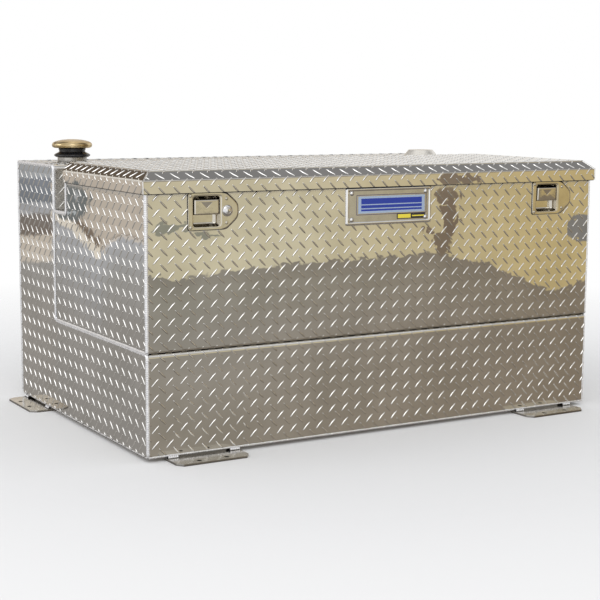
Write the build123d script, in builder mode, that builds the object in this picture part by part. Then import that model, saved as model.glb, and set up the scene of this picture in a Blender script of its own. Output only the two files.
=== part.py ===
"""Truck bed transfer tank with a toolbox on its shelf, in millimetres.

The tank has an L-shaped section: a low front half that ends in a shelf, and a
tall riser behind it. A lidded toolbox stands on the shelf. +X runs along the
tank to the right, +Y runs from the toolbox's front to the riser's back, and
+Z is up. The origin is on the ground, under the middle of the whole object.
"""

import os
from math import atan2, cos, degrees, hypot, radians, sin, sqrt

from build123d import *

# Tank
length = 1219.2
depth = 790.0
shelf_height = 228.0
tank_height = 604.0
toolbox_depth = 537.0
tank_thick = 3.2
tank_bend_r = 10.0
weld_round = 2.2
tank_bays = 3
baffle_fit = 0.2
baffle_hole_r = 40.0

# Mounting feet
foot_thick = 5.0
foot_reach = 62.0
foot_side_reach = 51.0
foot_tuck = 15.0
foot_length = 176.0
foot_end_inset = 45.0
foot_back_inset = 30.0
foot_clip_along = 12.0
foot_clip_out = 16.0
foot_hole_r = 5.5
foot_hole_spacing = 66.0
foot_hole_inset = 15.0
foot_pad_thick = 4.0
foot_pad_length = 25.0

# Filler and pump port, on top of the riser
filler_inset = 99.0
filler_bore_r = 21.0
bung_r = 36.5
bung_height = 13.0
bung_tail_r = 32.0
bung_tail = 6.0
bung_bore_r = 26.1
neck_fit = 0.1
neck_flange_r = 45.0
neck_flange_thick = 10.0
neck_r = 34.0
neck_height = 13.0
gasket_thick = 2.5
gasket_wall = 8.0
cap_r = 50.0
cap_rim = 9.0
cap_dome = 12.6
cap_shoulder_r = 4.0
cap_wall = 3.0
cap_plug_length = 16.0
cap_plug_fit = 0.2
cap_gap = 0.1
port_inset = 69.0
port_from_step = 104.0
port_base_r = 48.5
port_top_r = 34.5
port_height = 17.0
port_bore_r = 24.1
port_plug_fit = 0.1
port_plug_socket = 20.0
port_plug_socket_depth = 8.0

# Toolbox
box_height = 364.0
box_thick = 2.5
box_bend_r = 4.0
box_lip = 14.0
box_gap = 0.5
channel_width = 80.0
ledge_height = 267.0
join_bead_r = 3.2
join_bead_proud = 1.6
seal_width = 10.0
seal_height = 8.2
seal_inset = 3.0

# Lid
lid_thick = 2.5
lid_overhang = 8.0
lid_drop = 24.0
lid_skirt = 27.0
lid_bevel_inset = 22.0
lid_bevel_rise = 19.5
lid_skirt_round = 14.0
lid_back_gap = 5.0
lid_fit = 0.4
foam_hinge_relief = 8.0
liner_thick = 1.5
seal_squeeze_gap = 0.3
lid_open_angle = 70.0

# Piano hinge behind the lid
hinge_length = 1160.0
hinge_knuckles = 20
hinge_gap = 0.4
hinge_leaf_thick = 1.5
hinge_leaf_width = 32.0
hinge_lid_leaf_width = 17.0
hinge_knuckle_r = 3.0
hinge_pin_r = 1.5
hinge_pin_fit = 0.05
hinge_rise = 2.0
hinge_rivet_pitch = 116.0
hinge_rivet_r = 3.2
hinge_rivet_head = 1.4
hinge_rivet_shank_r = 1.6

# Gas struts inside the box's two ends
strut_from_wall = 30.0
strut_lid_ahead = 182.0
strut_lid_below = 23.0
strut_box_ahead = 15.0
strut_box_below = 103.0
strut_tube_r = 7.5
strut_tube_wall = 1.2
strut_tube_length = 125.0
strut_rod_r = 3.0
strut_rod_inside = 112.0
strut_piston_length = 8.0
strut_fit = 0.05
strut_eye_r = 8.0
strut_eye_thick = 8.0
strut_pin_r = 4.0
strut_side_gap = 0.5
strut_boss_r = 7.5
strut_head_r = 7.0
strut_head_thick = 1.5
bracket_thick = 3.0
bracket_length = 50.0
bracket_depth = 24.0
bracket_rivet_pitch = 34.0

# Paddle latches in the box's front
latch_left_inset = 98.0
latch_right_inset = 185.2
latch_drop = 65.0
latch_body_width = 92.0
latch_nose = 29.0
latch_half_height = 40.0
latch_nose_half_height = 15.0
latch_corner_r = 6.0
latch_shoulder_r = 12.0
latch_plate_rise = 3.0
latch_plate_taper = 45.0
dish_left = 11.0
dish_width = 65.0
dish_half_height = 33.5
dish_depth = 16.0
dish_wall = 1.2
dish_corner_r = 7.0
cutout_fit = 0.5
paddle_width = 58.0
paddle_thick = 2.0
paddle_top = 25.0
paddle_height = 32.0
paddle_grip = 7.0
paddle_pin_setback = 4.5
paddle_pin_r = 2.0
paddle_knuckle_r = 3.6
paddle_pin_fit = 0.05
paddle_mark_width = 29.0
paddle_mark_height = 14.0
paddle_mark_drop = 4.0
paddle_mark_depth = 0.8
tab_width = 14.0
tab_thick = 2.5
tab_length = 26.0
tab_slot_fit = 2.0
paddle_pull_angle = 30.0
hook_width = 12.0
hook_pin_setback = 24.0
hook_pin_drop = 27.0
hook_nose_rise = 47.6
hook_pin_r = 2.5
hook_boss_r = 6.0
hook_side_fit = 0.5
hook_release_angle = 14.0
hook_shoulder = 12.0
hook_arm_front = 10.0
hook_arm_thick = 8.0
hook_nose_tip = 2.0
hook_nose_thick = 8.0
hook_nose_bevel = 6.0
hook_play = 0.5
ear_thick = 3.0
striker_thick = 2.5
striker_width = 30.0
striker_foot = 12.0
striker_flange = 28.0
striker_rivet_pitch = 15.0
striker_rivet_back = 19.0
striker_lip_gap = 3.0
latch_rivet_head_r = 4.2
latch_rivet_head = 1.8
latch_rivet_shank_r = 2.4
rivet_fit = 0.1
rivet_tail = 2.0
rivet_taper = 35.0

# Lock in the left latch
lock_from_edge = 93.5
lock_head_r = 12.0
lock_head_proud = 3.0
lock_body_r = 9.2
lock_body_length = 20.0
lock_plug_r = 6.0
lock_plug_fit = 0.05
lock_plug_proud = 0.6
lock_nut_r = 13.0
lock_nut_thick = 3.5
cam_thick = 2.5
cam_width = 12.0
cam_length = 36.0
keyway_width = 1.8
keyway_height = 8.0
keyway_depth = 4.0

# Name plate, left without any name
name_plate_width = 236.0
name_plate_height = 86.0
name_plate_shift = 2.4
name_plate_drop = 68.0
name_plate_thick = 1.0
name_plate_corner_r = 5.0
name_plate_rim = 4.0
name_plate_rim_rise = 1.2
name_plate_rivet_inset_x = 16.0
name_plate_rivet_inset_z = 13.0

# Places that follow from the sizes above
half = length / 2
front = (foot_reach - depth) / 2
rear = front + depth
riser_front = front + toolbox_depth
riser_depth = depth - toolbox_depth
base_z = foot_thick + foot_pad_thick
shelf_z = base_z + shelf_height
riser_top = base_z + tank_height
box_back = riser_front - box_gap
ledge_z = shelf_z + ledge_height
hinge_wall = riser_front - channel_width
box_top = shelf_z + box_height
lid_edge = box_top - lid_drop
lid_fold_z = lid_edge + lid_skirt
lid_top = lid_fold_z + lid_bevel_rise
liner_z = box_top + seal_height + seal_squeeze_gap
foam_z = liner_z + liner_thick
hinge_y = hinge_wall + hinge_knuckle_r
hinge_z = box_top + hinge_rise
latch_z = box_top - latch_drop
# The box's lower back fold clears the fold between the shelf and the riser
box_heel_r = tank_bend_r - tank_thick + box_gap


def save(piece, name):
    """Label a finished piece and write it to its own file."""
    piece.part.label = name
    export_step(piece.part, f"parts/{name}.step")


def block(x, y, z, mode=Mode.ADD):
    """Rectangular block between two values on each axis."""
    centre = ((x[0] + x[1]) / 2, (y[0] + y[1]) / 2, (z[0] + z[1]) / 2)
    with Locations(centre):
        Box(abs(x[1] - x[0]), abs(y[1] - y[0]), abs(z[1] - z[0]), mode=mode)


def round_bar(plane, start, end, radius, mode=Mode.ADD):
    """Round bar or round hole about a plane's normal, from start to end along it."""
    with BuildSketch(plane.offset(start)) as section:
        Circle(radius)
    extrude(section.sketch, amount=end - start, mode=mode)


def rivet(seat, head_r, head, shank_r, shank):
    """Rivet whose head stands out of its seat and whose shank goes the other way."""
    with BuildSketch(seat) as foot:
        Circle(head_r)
    extrude(foot.sketch, amount=head, taper=rivet_taper)
    round_bar(seat, -shank, 0, shank_r)


def across(y, z):
    """Plane whose normal runs along the tank, centred on a point of its section."""
    return Plane(origin=(0, y, z), x_dir=(0, 1, 0), z_dir=(1, 0, 0))


def facing(x, z):
    """Plane on the box's front face, facing outwards, centred on one point of it."""
    return Plane(origin=(x, front, z), x_dir=(1, 0, 0), z_dir=(0, -1, 0))


def folded_sheet(points, radii, thick, x_from, x_to):
    """Sheet folded along the line of its outer face, given as (y, z) points.

    The sheet lies on the left of the line as it is followed."""
    with BuildSketch(Plane.YZ.offset(x_from)) as profile:
        with BuildLine():
            FilletPolyline(*points, radius=radii)
            offset(amount=thick, side=Side.LEFT)
        make_face()
    extrude(profile.sketch, amount=x_to - x_from)


def tank_outline(inset):
    """Closed line of the tank's section, inside its outer face by the inset."""
    near, far = front + inset, rear - inset
    low, shelf, top = base_z + inset, shelf_z - inset, riser_top - inset
    step = riser_front + inset
    seam_r = max(tank_thick - inset, 0)
    fold_r = tank_bend_r - inset
    hollow_r = tank_bend_r - tank_thick + inset
    FilletPolyline(
        (near, low), (near, shelf), (step, shelf), (step, top), (far, top), (far, low),
        radius=[seam_r, fold_r, hollow_r, fold_r, seam_r, fold_r],
        close=True,
    )


def box_outline(inset):
    """Closed line of the toolbox's section, inside its outer face by the inset.

    Its top stays at the box's rim for every inset."""
    near, far = front + inset, box_back - inset
    low, ledge = shelf_z + inset, ledge_z - inset
    wall = hinge_wall - inset
    fold_r = box_bend_r - inset
    heel_r = box_heel_r - inset
    hollow_r = box_bend_r - box_thick + inset
    FilletPolyline(
        (near, box_top), (near, low), (far, low), (far, ledge), (wall, ledge), (wall, box_top),
        radius=[0, fold_r, heel_r, fold_r, hollow_r, 0],
        close=True,
    )


def section_ring(outline, thick, x_from):
    """Weld bead round one end: the groove between the folded skin and the end."""
    with BuildSketch(Plane.YZ.offset(x_from)) as ring:
        with BuildLine():
            outline(0)
        make_face()
        with BuildLine():
            outline(thick)
        make_face(mode=Mode.SUBTRACT)
    extrude(ring.sketch, amount=thick)


def section_plate(outline, inset, x_from, thick):
    """Flat plate cut to a section's outline."""
    with BuildSketch(Plane.YZ.offset(x_from)) as plate:
        with BuildLine():
            outline(inset)
        make_face()
    extrude(plate.sketch, amount=thick)


os.makedirs("parts", exist_ok=True)

# Places on the riser's top
filler_x = -half + filler_inset
filler_y = riser_front + riser_depth / 2
filler_plane = Plane.XY.offset(riser_top).shift_origin((filler_x, filler_y, riser_top))
port_x = half - port_inset
port_y = riser_front + port_from_step
port_plane = Plane.XY.offset(riser_top).shift_origin((port_x, port_y, riser_top))

# Tank: two folded skins, two end plates, two baffles and the weld that joins them
skin_end = half - tank_thick
with BuildPart() as tank_front_skin:
    folded_sheet(
        [(rear - tank_thick, riser_top), (riser_front, riser_top), (riser_front, shelf_z),
         (front, shelf_z), (front, base_z + tank_thick)],
        [tank_bend_r, tank_bend_r - tank_thick, tank_bend_r],
        tank_thick, -skin_end, skin_end,
    )
    round_bar(filler_plane, -2 * tank_thick, tank_thick, bung_tail_r, Mode.SUBTRACT)
    round_bar(port_plane, -2 * tank_thick, tank_thick, port_bore_r, Mode.SUBTRACT)
save(tank_front_skin, "tank_front_skin")

with BuildPart() as tank_back_skin:
    folded_sheet(
        [(front + tank_thick, base_z), (rear, base_z), (rear, riser_top - tank_thick)],
        [tank_bend_r], tank_thick, -skin_end, skin_end,
    )
save(tank_back_skin, "tank_back_skin")

with BuildPart() as tank_end_left:
    section_plate(tank_outline, tank_thick, -half, tank_thick)
save(tank_end_left, "tank_end_left")

with BuildPart() as tank_end_right:
    section_plate(tank_outline, tank_thick, skin_end, tank_thick)
save(tank_end_right, "tank_end_right")

shelf_middle = (base_z + shelf_z) / 2
riser_middle = (shelf_z + riser_top) / 2
baffle_holes = [
    (front + toolbox_depth / 4, shelf_middle),
    (front + toolbox_depth * 3 / 4, shelf_middle),
    (riser_front + riser_depth / 2, shelf_middle),
    (riser_front + riser_depth / 2, riser_middle),
]
for side, way in (("left", -1), ("right", 1)):
    baffle_x = way * length / tank_bays / 2
    with BuildPart() as tank_baffle:
        section_plate(tank_outline, tank_thick + baffle_fit, baffle_x - tank_thick / 2, tank_thick)
        for hole_y, hole_z in baffle_holes:
            round_bar(across(hole_y, hole_z), baffle_x - tank_thick, baffle_x + tank_thick,
                      baffle_hole_r, Mode.SUBTRACT)
    save(tank_baffle, f"tank_baffle_{side}")

with BuildPart() as tank_weld_bead:
    section_ring(tank_outline, tank_thick, skin_end)
    fillet(faces().sort_by(Axis.X)[-1].outer_wire().edges(), weld_round)
    section_ring(tank_outline, tank_thick, -half)
    fillet(faces().sort_by(Axis.X)[0].outer_wire().edges(), weld_round)
    for seam_y, seam_z, corner in ((front, base_z, 0), (rear - tank_thick, riser_top - tank_thick, 1)):
        with BuildSketch(Plane.YZ.offset(-skin_end)) as groove:
            with Locations((seam_y + tank_thick / 2, seam_z + tank_thick / 2)):
                Rectangle(tank_thick, tank_thick)
            fillet(groove.vertices().sort_by(lambda v: v.X + v.Y)[-corner], weld_round)
        extrude(amount=2 * skin_end)
save(tank_weld_bead, "tank_weld_bead")

# Feet: flat plates that stand out past the tank, each welded on through two pads
foot_middle = half - foot_end_inset - foot_length / 2
foot_side_y = rear - foot_back_inset - foot_length / 2
foot_planes = {
    "foot_front_left": Plane(origin=(-foot_middle, front, 0), x_dir=(1, 0, 0), z_dir=(0, 0, -1)),
    "foot_front_right": Plane(origin=(foot_middle, front, 0), x_dir=(1, 0, 0), z_dir=(0, 0, -1)),
    "foot_side_left": Plane(origin=(-half, foot_side_y, 0), x_dir=(0, -1, 0), z_dir=(0, 0, -1)),
    "foot_side_right": Plane(origin=(half, foot_side_y, 0), x_dir=(0, 1, 0), z_dir=(0, 0, -1)),
}
for foot_name, foot_plane in foot_planes.items():
    reach = foot_side_reach if "side" in foot_name else foot_reach
    with BuildPart() as foot:
        with BuildSketch(foot_plane):
            with BuildLine():
                Polyline(
                    (-foot_length / 2, -foot_tuck),
                    (foot_length / 2, -foot_tuck),
                    (foot_length / 2, reach - foot_clip_out),
                    (foot_length / 2 - foot_clip_along, reach),
                    (foot_clip_along - foot_length / 2, reach),
                    (-foot_length / 2, reach - foot_clip_out),
                    close=True,
                )
            make_face()
            with Locations((0, reach - foot_hole_inset)):
                with GridLocations(foot_hole_spacing, 0, 2, 1):
                    Circle(foot_hole_r, mode=Mode.SUBTRACT)
        extrude(amount=-foot_thick)
    save(foot, foot_name)

with BuildPart() as foot_pads:
    for foot_plane in foot_planes.values():
        with BuildSketch(foot_plane.offset(-foot_thick)):
            with Locations((0, -foot_tuck / 2)):
                with GridLocations(foot_length - foot_pad_length, 0, 2, 1):
                    Rectangle(foot_pad_length, foot_tuck)
        extrude(amount=-foot_pad_thick)
save(foot_pads, "foot_pads")

# Filler: welded bung, screwed-in neck, gasket and screw cap
flange_z = bung_height + neck_flange_thick
neck_z = flange_z + neck_height
with BuildPart() as filler_bung:
    round_bar(filler_plane, 0, bung_height, bung_r)
    round_bar(filler_plane, -tank_thick - bung_tail, 0, bung_tail_r)
    round_bar(filler_plane, -tank_thick - bung_tail, bung_height, bung_bore_r, Mode.SUBTRACT)
save(filler_bung, "filler_bung")

with BuildPart() as filler_neck:
    round_bar(filler_plane, -tank_thick, bung_height, bung_bore_r - neck_fit)
    round_bar(filler_plane, bung_height, flange_z, neck_flange_r)
    round_bar(filler_plane, flange_z, neck_z, neck_r)
    round_bar(filler_plane, -tank_thick, neck_z, filler_bore_r, Mode.SUBTRACT)
save(filler_neck, "filler_neck")

gasket_z = neck_z + cap_gap
cap_z = gasket_z + gasket_thick + cap_gap
with BuildPart() as filler_gasket:
    round_bar(filler_plane, gasket_z, gasket_z + gasket_thick, neck_r)
    round_bar(filler_plane, gasket_z, gasket_z + gasket_thick, neck_r - gasket_wall, Mode.SUBTRACT)
save(filler_gasket, "filler_gasket")

cap_plug_r = filler_bore_r - cap_plug_fit
cap_rim_top = neck_z + cap_rim
cap_top = cap_rim_top + cap_dome
dome_r = (cap_r ** 2 + cap_dome ** 2) / (2 * cap_dome)
dome_middle_z = cap_top - dome_r + sqrt(dome_r ** 2 - cap_r ** 2 / 4)
with BuildPart() as filler_cap:
    with BuildSketch(Plane(origin=(filler_x, filler_y, riser_top), x_dir=(1, 0, 0), z_dir=(0, -1, 0))):
        with BuildLine():
            Polyline(
                (0, cap_z), (cap_plug_r - cap_wall, cap_z),
                (cap_plug_r - cap_wall, neck_z - cap_plug_length), (cap_plug_r, neck_z - cap_plug_length),
                (cap_plug_r, cap_z), (cap_r - cap_wall, cap_z),
                (cap_r - cap_wall, neck_z), (cap_r, neck_z), (cap_r, cap_rim_top),
            )
            ThreePointArc((cap_r, cap_rim_top), (cap_r / 2, dome_middle_z), (0, cap_top))
            Line((0, cap_top), (0, cap_z))
        make_face()
    revolve(axis=Axis((filler_x, filler_y, 0), (0, 0, 1)))
    fillet(edges().filter_by_position(Axis.Z, riser_top + cap_rim_top - cap_gap,
                                      riser_top + cap_rim_top + cap_gap), cap_shoulder_r)
save(filler_cap, "filler_cap")

# Pump port: a sloping welded boss with its plug
with BuildPart() as pump_port:
    with BuildSketch(port_plane):
        Circle(port_base_r)
    with BuildSketch(port_plane.offset(port_height)):
        Circle(port_top_r)
    loft()
    round_bar(port_plane, 0, port_height, port_bore_r, Mode.SUBTRACT)
save(pump_port, "pump_port")

with BuildPart() as pump_port_plug:
    round_bar(port_plane, -tank_thick, port_height, port_bore_r - port_plug_fit)
    with BuildSketch(port_plane.offset(port_height)):
        Rectangle(port_plug_socket, port_plug_socket)
    extrude(amount=-port_plug_socket_depth, mode=Mode.SUBTRACT)
save(pump_port_plug, "pump_port_plug")

# Latches: where each one's parts stand
latch_edges = {"left": -half + latch_left_inset, "right": half - latch_right_inset}
dish_middle = dish_left + dish_width / 2
dish_back = front + dish_depth + dish_wall
paddle_pin_y = front + paddle_pin_setback
paddle_pin_z = latch_z + paddle_top - paddle_knuckle_r
hook_pin_y = front + hook_pin_setback
hook_pin_z = paddle_pin_z - hook_pin_drop
lock_x = latch_edges["left"] + lock_from_edge
latch_rivet_x = (latch_corner_r, latch_body_width)
latch_rivet_z = (latch_half_height - latch_corner_r, latch_half_height - 2 * latch_corner_r - rivet_tail)
latch_rivets_at = [
    (edge + rivet_x, latch_z + way * rivet_z)
    for edge in latch_edges.values()
    for rivet_x, rivet_z in zip(latch_rivet_x, latch_rivet_z)
    for way in (1, -1)
]

# Name plate: its place and its rivets
name_plate_z = box_top - name_plate_drop
name_rivets_at = [
    (
        name_plate_shift + way_x * (name_plate_width / 2 - name_plate_rivet_inset_x),
        name_plate_z + way_z * (name_plate_height / 2 - name_plate_rivet_inset_z),
    )
    for way_x in (1, -1)
    for way_z in (1, -1)
]

# Hinge rivets along each leaf
hinge_rivet_count = int(hinge_length / hinge_rivet_pitch)
hinge_rivets_x = [(n - (hinge_rivet_count - 1) / 2) * hinge_rivet_pitch for n in range(hinge_rivet_count)]
box_leaf_low = hinge_z - hinge_leaf_width
box_rivet_z = box_leaf_low + hinge_leaf_width / 3
lid_leaf_low = hinge_z + hinge_knuckle_r + hinge_gap
lid_leaf_high = hinge_z + hinge_lid_leaf_width
lid_rivet_z = (lid_leaf_low + lid_leaf_high) / 2 + hinge_gap

# Toolbox: one folded body, two end plates, welds and the lid's seal
box_end_x = half - box_thick
with BuildPart() as box_body:
    folded_sheet(
        [(front + box_lip, box_top), (front, box_top), (front, shelf_z), (box_back, shelf_z),
         (box_back, ledge_z), (hinge_wall, ledge_z), (hinge_wall, box_top), (hinge_wall - box_lip, box_top)],
        [box_bend_r, box_bend_r, box_heel_r, box_bend_r, box_bend_r - box_thick, box_bend_r],
        box_thick, -box_end_x, box_end_x,
    )
    for edge in latch_edges.values():
        with BuildSketch(facing(edge + dish_middle, latch_z)):
            RectangleRounded(
                dish_width + 2 * (dish_wall + cutout_fit),
                2 * (dish_half_height + dish_wall + cutout_fit),
                dish_corner_r + dish_wall + cutout_fit,
            )
        extrude(amount=-2 * box_thick, mode=Mode.SUBTRACT)
    for rivet_x, rivet_z in latch_rivets_at + name_rivets_at:
        round_bar(facing(rivet_x, rivet_z), 0, -2 * box_thick, latch_rivet_shank_r + rivet_fit, Mode.SUBTRACT)
    round_bar(facing(lock_x, latch_z), 0, -2 * box_thick, lock_body_r + rivet_fit, Mode.SUBTRACT)
    for rivet_x in hinge_rivets_x:
        rivet_plane = Plane(origin=(rivet_x, hinge_wall, box_rivet_z), x_dir=(1, 0, 0), z_dir=(0, -1, 0))
        round_bar(rivet_plane, 0, 2 * box_thick, hinge_rivet_shank_r + rivet_fit, Mode.SUBTRACT)
save(box_body, "box_body")

end_lip = (front + box_lip + box_gap, hinge_wall - box_lip - box_gap)
with BuildPart() as box_end_left:
    section_plate(box_outline, box_thick, -half, box_thick)
    block((-half, -half + box_lip), end_lip, (box_top - box_thick, box_top))
save(box_end_left, "box_end_left")

with BuildPart() as box_end_right:
    section_plate(box_outline, box_thick, box_end_x, box_thick)
    block((half - box_lip, half), end_lip, (box_top - box_thick, box_top))
save(box_end_right, "box_end_right")

with BuildPart() as box_weld_bead:
    section_ring(box_outline, box_thick, box_end_x)
    section_ring(box_outline, box_thick, -half)
save(box_weld_bead, "box_weld_bead")

with BuildPart() as join_weld_bead:
    for face_x, way in ((-half, -1), (half, 1)):
        bead_x = face_x - way * (join_bead_r - join_bead_proud)
        bead_from = face_x if way > 0 else face_x - join_bead_proud
        with BuildSketch(Plane.XZ.offset(-front - tank_bend_r)):
            with Locations((bead_x, shelf_z)):
                Circle(join_bead_r)
        extrude(amount=-(toolbox_depth - tank_bend_r))
        with BuildSketch(Plane.XY.offset(shelf_z)):
            with Locations((bead_x, riser_front)):
                Circle(join_bead_r)
        extrude(amount=ledge_height)
    block((-half, half), (front, rear), (base_z, riser_top), Mode.SUBTRACT)
save(join_weld_bead, "join_weld_bead")

seal_outer_x = half - seal_inset
seal_outer_y = (front + seal_inset, hinge_wall - seal_inset)
with BuildPart() as lid_seal:
    seal_z = (box_top, box_top + seal_height)
    block((-seal_outer_x, seal_outer_x), seal_outer_y, seal_z)
    block(
        (seal_width - seal_outer_x, seal_outer_x - seal_width),
        (seal_outer_y[0] + seal_width, seal_outer_y[1] - seal_width),
        seal_z, Mode.SUBTRACT,
    )
save(lid_seal, "lid_seal")

# Lid: a pan bent from one sheet, with a foam core behind an inner liner
lid_side = half + lid_overhang
lid_front = front - lid_overhang
lid_middle_y = (lid_front + hinge_wall) / 2
lid_depth = hinge_wall - lid_front
flange_low = lid_leaf_low + hinge_gap + rivet_fit
with BuildPart() as lid_pan:
    block((-lid_side, lid_side), (lid_front, hinge_wall), (lid_edge, lid_fold_z))
    with BuildSketch(Plane.XY.offset(lid_fold_z)):
        with Locations((0, lid_middle_y)):
            Rectangle(2 * lid_side, lid_depth)
    with BuildSketch(Plane.XY.offset(lid_top)):
        with Locations((0, lid_middle_y + lid_bevel_inset / 2)):
            Rectangle(2 * (lid_side - lid_bevel_inset), lid_depth - lid_bevel_inset)
    loft()
    offset(amount=-lid_thick, openings=faces().sort_by(Axis.Z)[0])
    block((-length, length), (hinge_wall - lid_back_gap, hinge_wall), (lid_edge, flange_low),
          Mode.SUBTRACT)
    skirt_corners = edges().filter_by(Axis.X).filter_by(
        lambda e: abs(e.center().Y - (hinge_wall - lid_back_gap)) < rivet_fit
        and abs(e.center().Z - lid_edge) < rivet_fit
    )
    fillet(skirt_corners, lid_skirt_round)
    for rivet_x in hinge_rivets_x:
        rivet_plane = Plane(origin=(rivet_x, hinge_wall, lid_rivet_z), x_dir=(1, 0, 0), z_dir=(0, -1, 0))
        round_bar(rivet_plane, 0, 2 * lid_thick, hinge_rivet_shank_r + rivet_fit, Mode.SUBTRACT)
save(lid_pan, "lid_pan")

# The bevel's wall, measured level, is thicker than the sheet
bevel_level_thick = lid_thick * hypot(lid_bevel_inset, lid_bevel_rise) / lid_bevel_rise


def lid_inside(z):
    """How far the bevel's inner face stands in from the skirt's outer face at a height."""
    return (z - lid_fold_z) * lid_bevel_inset / lid_bevel_rise + bevel_level_thick + lid_fit


def lid_layer(z):
    """Level rectangle that fits inside the lid pan at a height."""
    inside = lid_inside(z)
    back = hinge_wall - lid_thick - lid_fit
    near = lid_front + inside
    with Locations((0, (near + back) / 2)):
        Rectangle(2 * (lid_side - inside), back - near)


liner_side = lid_side - lid_inside(foam_z)
liner_front = lid_front + lid_inside(foam_z)
with BuildPart() as lid_foam:
    with BuildSketch(Plane.XY.offset(foam_z)) as foam_low:
        lid_layer(foam_z)
    with BuildSketch(Plane.XY.offset(lid_top - lid_thick)) as foam_high:
        lid_layer(lid_top - lid_thick)
    loft()
    block((-half, half), (hinge_wall - lid_thick - foam_hinge_relief, hinge_wall), (foam_z, lid_top),
          Mode.SUBTRACT)
save(lid_foam, "lid_foam")

# Strut places, from the hinge's axis
strut_x = half - box_thick - strut_from_wall
lid_stud = (hinge_y - strut_lid_ahead, hinge_z - strut_lid_below)
box_stud = (hinge_y - strut_box_ahead, hinge_z - strut_box_below)
strut_shut = hypot(lid_stud[0] - box_stud[0], lid_stud[1] - box_stud[1])
strut_shut_angle = atan2(lid_stud[1] - box_stud[1], lid_stud[0] - box_stud[0])
turn = radians(lid_open_angle)
lid_stud_open = (
    hinge_y - strut_lid_ahead * cos(turn) - strut_lid_below * sin(turn),
    hinge_z + strut_lid_ahead * sin(turn) - strut_lid_below * cos(turn),
)
strut_open = hypot(lid_stud_open[0] - box_stud[0], lid_stud_open[1] - box_stud[1])
strut_open_angle = atan2(lid_stud_open[1] - box_stud[1], lid_stud_open[0] - box_stud[0])

# Places of the strikers and strut brackets under the liner
striker_y = front + box_lip + striker_lip_gap
hook_nose_z = hook_pin_z + hook_nose_rise
striker_top = hook_nose_z - hook_play
bracket_in = strut_x - strut_eye_thick / 2 - strut_side_gap - bracket_thick
bracket_flange = bracket_depth
lid_rivets_at = [
    (edge + dish_middle + way * striker_rivet_pitch / 2, striker_y + striker_rivet_back)
    for edge in latch_edges.values()
    for way in (1, -1)
] + [
    (side * (bracket_in - bracket_flange / 2), lid_stud[0] + way * bracket_rivet_pitch / 2)
    for side in (1, -1)
    for way in (1, -1)
]

with BuildPart() as lid_liner:
    block((-liner_side, liner_side), (liner_front, hinge_wall - lid_thick - lid_fit), (liner_z, foam_z))
    for rivet_x, rivet_y in lid_rivets_at:
        rivet_plane = Plane(origin=(rivet_x, rivet_y, liner_z), x_dir=(1, 0, 0), z_dir=(0, 0, 1))
        round_bar(rivet_plane, -liner_thick, 2 * liner_thick, latch_rivet_shank_r + rivet_fit, Mode.SUBTRACT)
save(lid_liner, "lid_liner")

# Piano hinge: two leaves with alternate knuckles on one pin
knuckle_pitch = hinge_length / hinge_knuckles
hinge_from = -hinge_length / 2
hinge_plane = across(hinge_y, hinge_z)
leaf_y = (hinge_wall, hinge_wall + hinge_leaf_thick)


def hinge_leaf(first, leaf_z, root_z, rivet_z):
    """One leaf: its flat, every second knuckle from the first, and its rivet holes."""
    block((hinge_from, -hinge_from), leaf_y, leaf_z)
    for n in range(first, hinge_knuckles, 2):
        start = hinge_from + n * knuckle_pitch + hinge_gap / 2
        end = start + knuckle_pitch - hinge_gap
        block((start, end), leaf_y, root_z)
        round_bar(hinge_plane, start, end, hinge_knuckle_r)
    round_bar(hinge_plane, hinge_from, -hinge_from, hinge_pin_r + hinge_pin_fit, Mode.SUBTRACT)
    for rivet_x in hinge_rivets_x:
        rivet_plane = Plane(origin=(rivet_x, hinge_wall, rivet_z), x_dir=(1, 0, 0), z_dir=(0, 1, 0))
        round_bar(rivet_plane, 0, hinge_leaf_thick, hinge_rivet_shank_r + rivet_fit, Mode.SUBTRACT)


box_leaf_high = hinge_z - hinge_knuckle_r - hinge_gap
with BuildPart() as hinge_box_leaf:
    hinge_leaf(0, (box_leaf_low, box_leaf_high), (box_leaf_high, hinge_z), box_rivet_z)
save(hinge_box_leaf, "hinge_box_leaf")

with BuildPart() as hinge_lid_leaf:
    hinge_leaf(1, (lid_leaf_low, lid_leaf_high), (hinge_z, lid_leaf_low), lid_rivet_z)
save(hinge_lid_leaf, "hinge_lid_leaf")

with BuildPart() as hinge_pin:
    round_bar(hinge_plane, hinge_from, -hinge_from, hinge_pin_r)
save(hinge_pin, "hinge_pin")


def leaf_rivets(rivet_z, sheet):
    """Row of rivets through one hinge leaf and the sheet in front of it."""
    for rivet_x in hinge_rivets_x:
        seat = Plane(origin=(rivet_x, leaf_y[1], rivet_z), x_dir=(1, 0, 0), z_dir=(0, 1, 0))
        rivet(seat, hinge_rivet_r, hinge_rivet_head, hinge_rivet_shank_r, hinge_leaf_thick + sheet)


with BuildPart() as hinge_box_rivets:
    leaf_rivets(box_rivet_z, box_thick)
save(hinge_box_rivets, "hinge_box_rivets")

with BuildPart() as hinge_lid_rivets:
    leaf_rivets(lid_rivet_z, lid_thick)
save(hinge_lid_rivets, "hinge_lid_rivets")

# Strikers under the lid: each hangs behind the box's rim and ends in a foot
for side, edge in latch_edges.items():
    striker_x = (edge + dish_middle - striker_width / 2, edge + dish_middle + striker_width / 2)
    with BuildPart() as striker:
        block(striker_x, (striker_y, striker_y + striker_thick), (striker_top - striker_thick, liner_z))
        block(striker_x, (striker_y, striker_y + striker_foot), (striker_top - striker_thick, striker_top))
        block(striker_x, (striker_y, striker_y + striker_flange), (liner_z - striker_thick, liner_z))
        for rivet_x, rivet_y in lid_rivets_at:
            rivet_plane = Plane(origin=(rivet_x, rivet_y, liner_z), x_dir=(1, 0, 0), z_dir=(0, 0, 1))
            round_bar(rivet_plane, -striker_thick, 0, latch_rivet_shank_r + rivet_fit, Mode.SUBTRACT)
    save(striker, f"striker_{side}")

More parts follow.
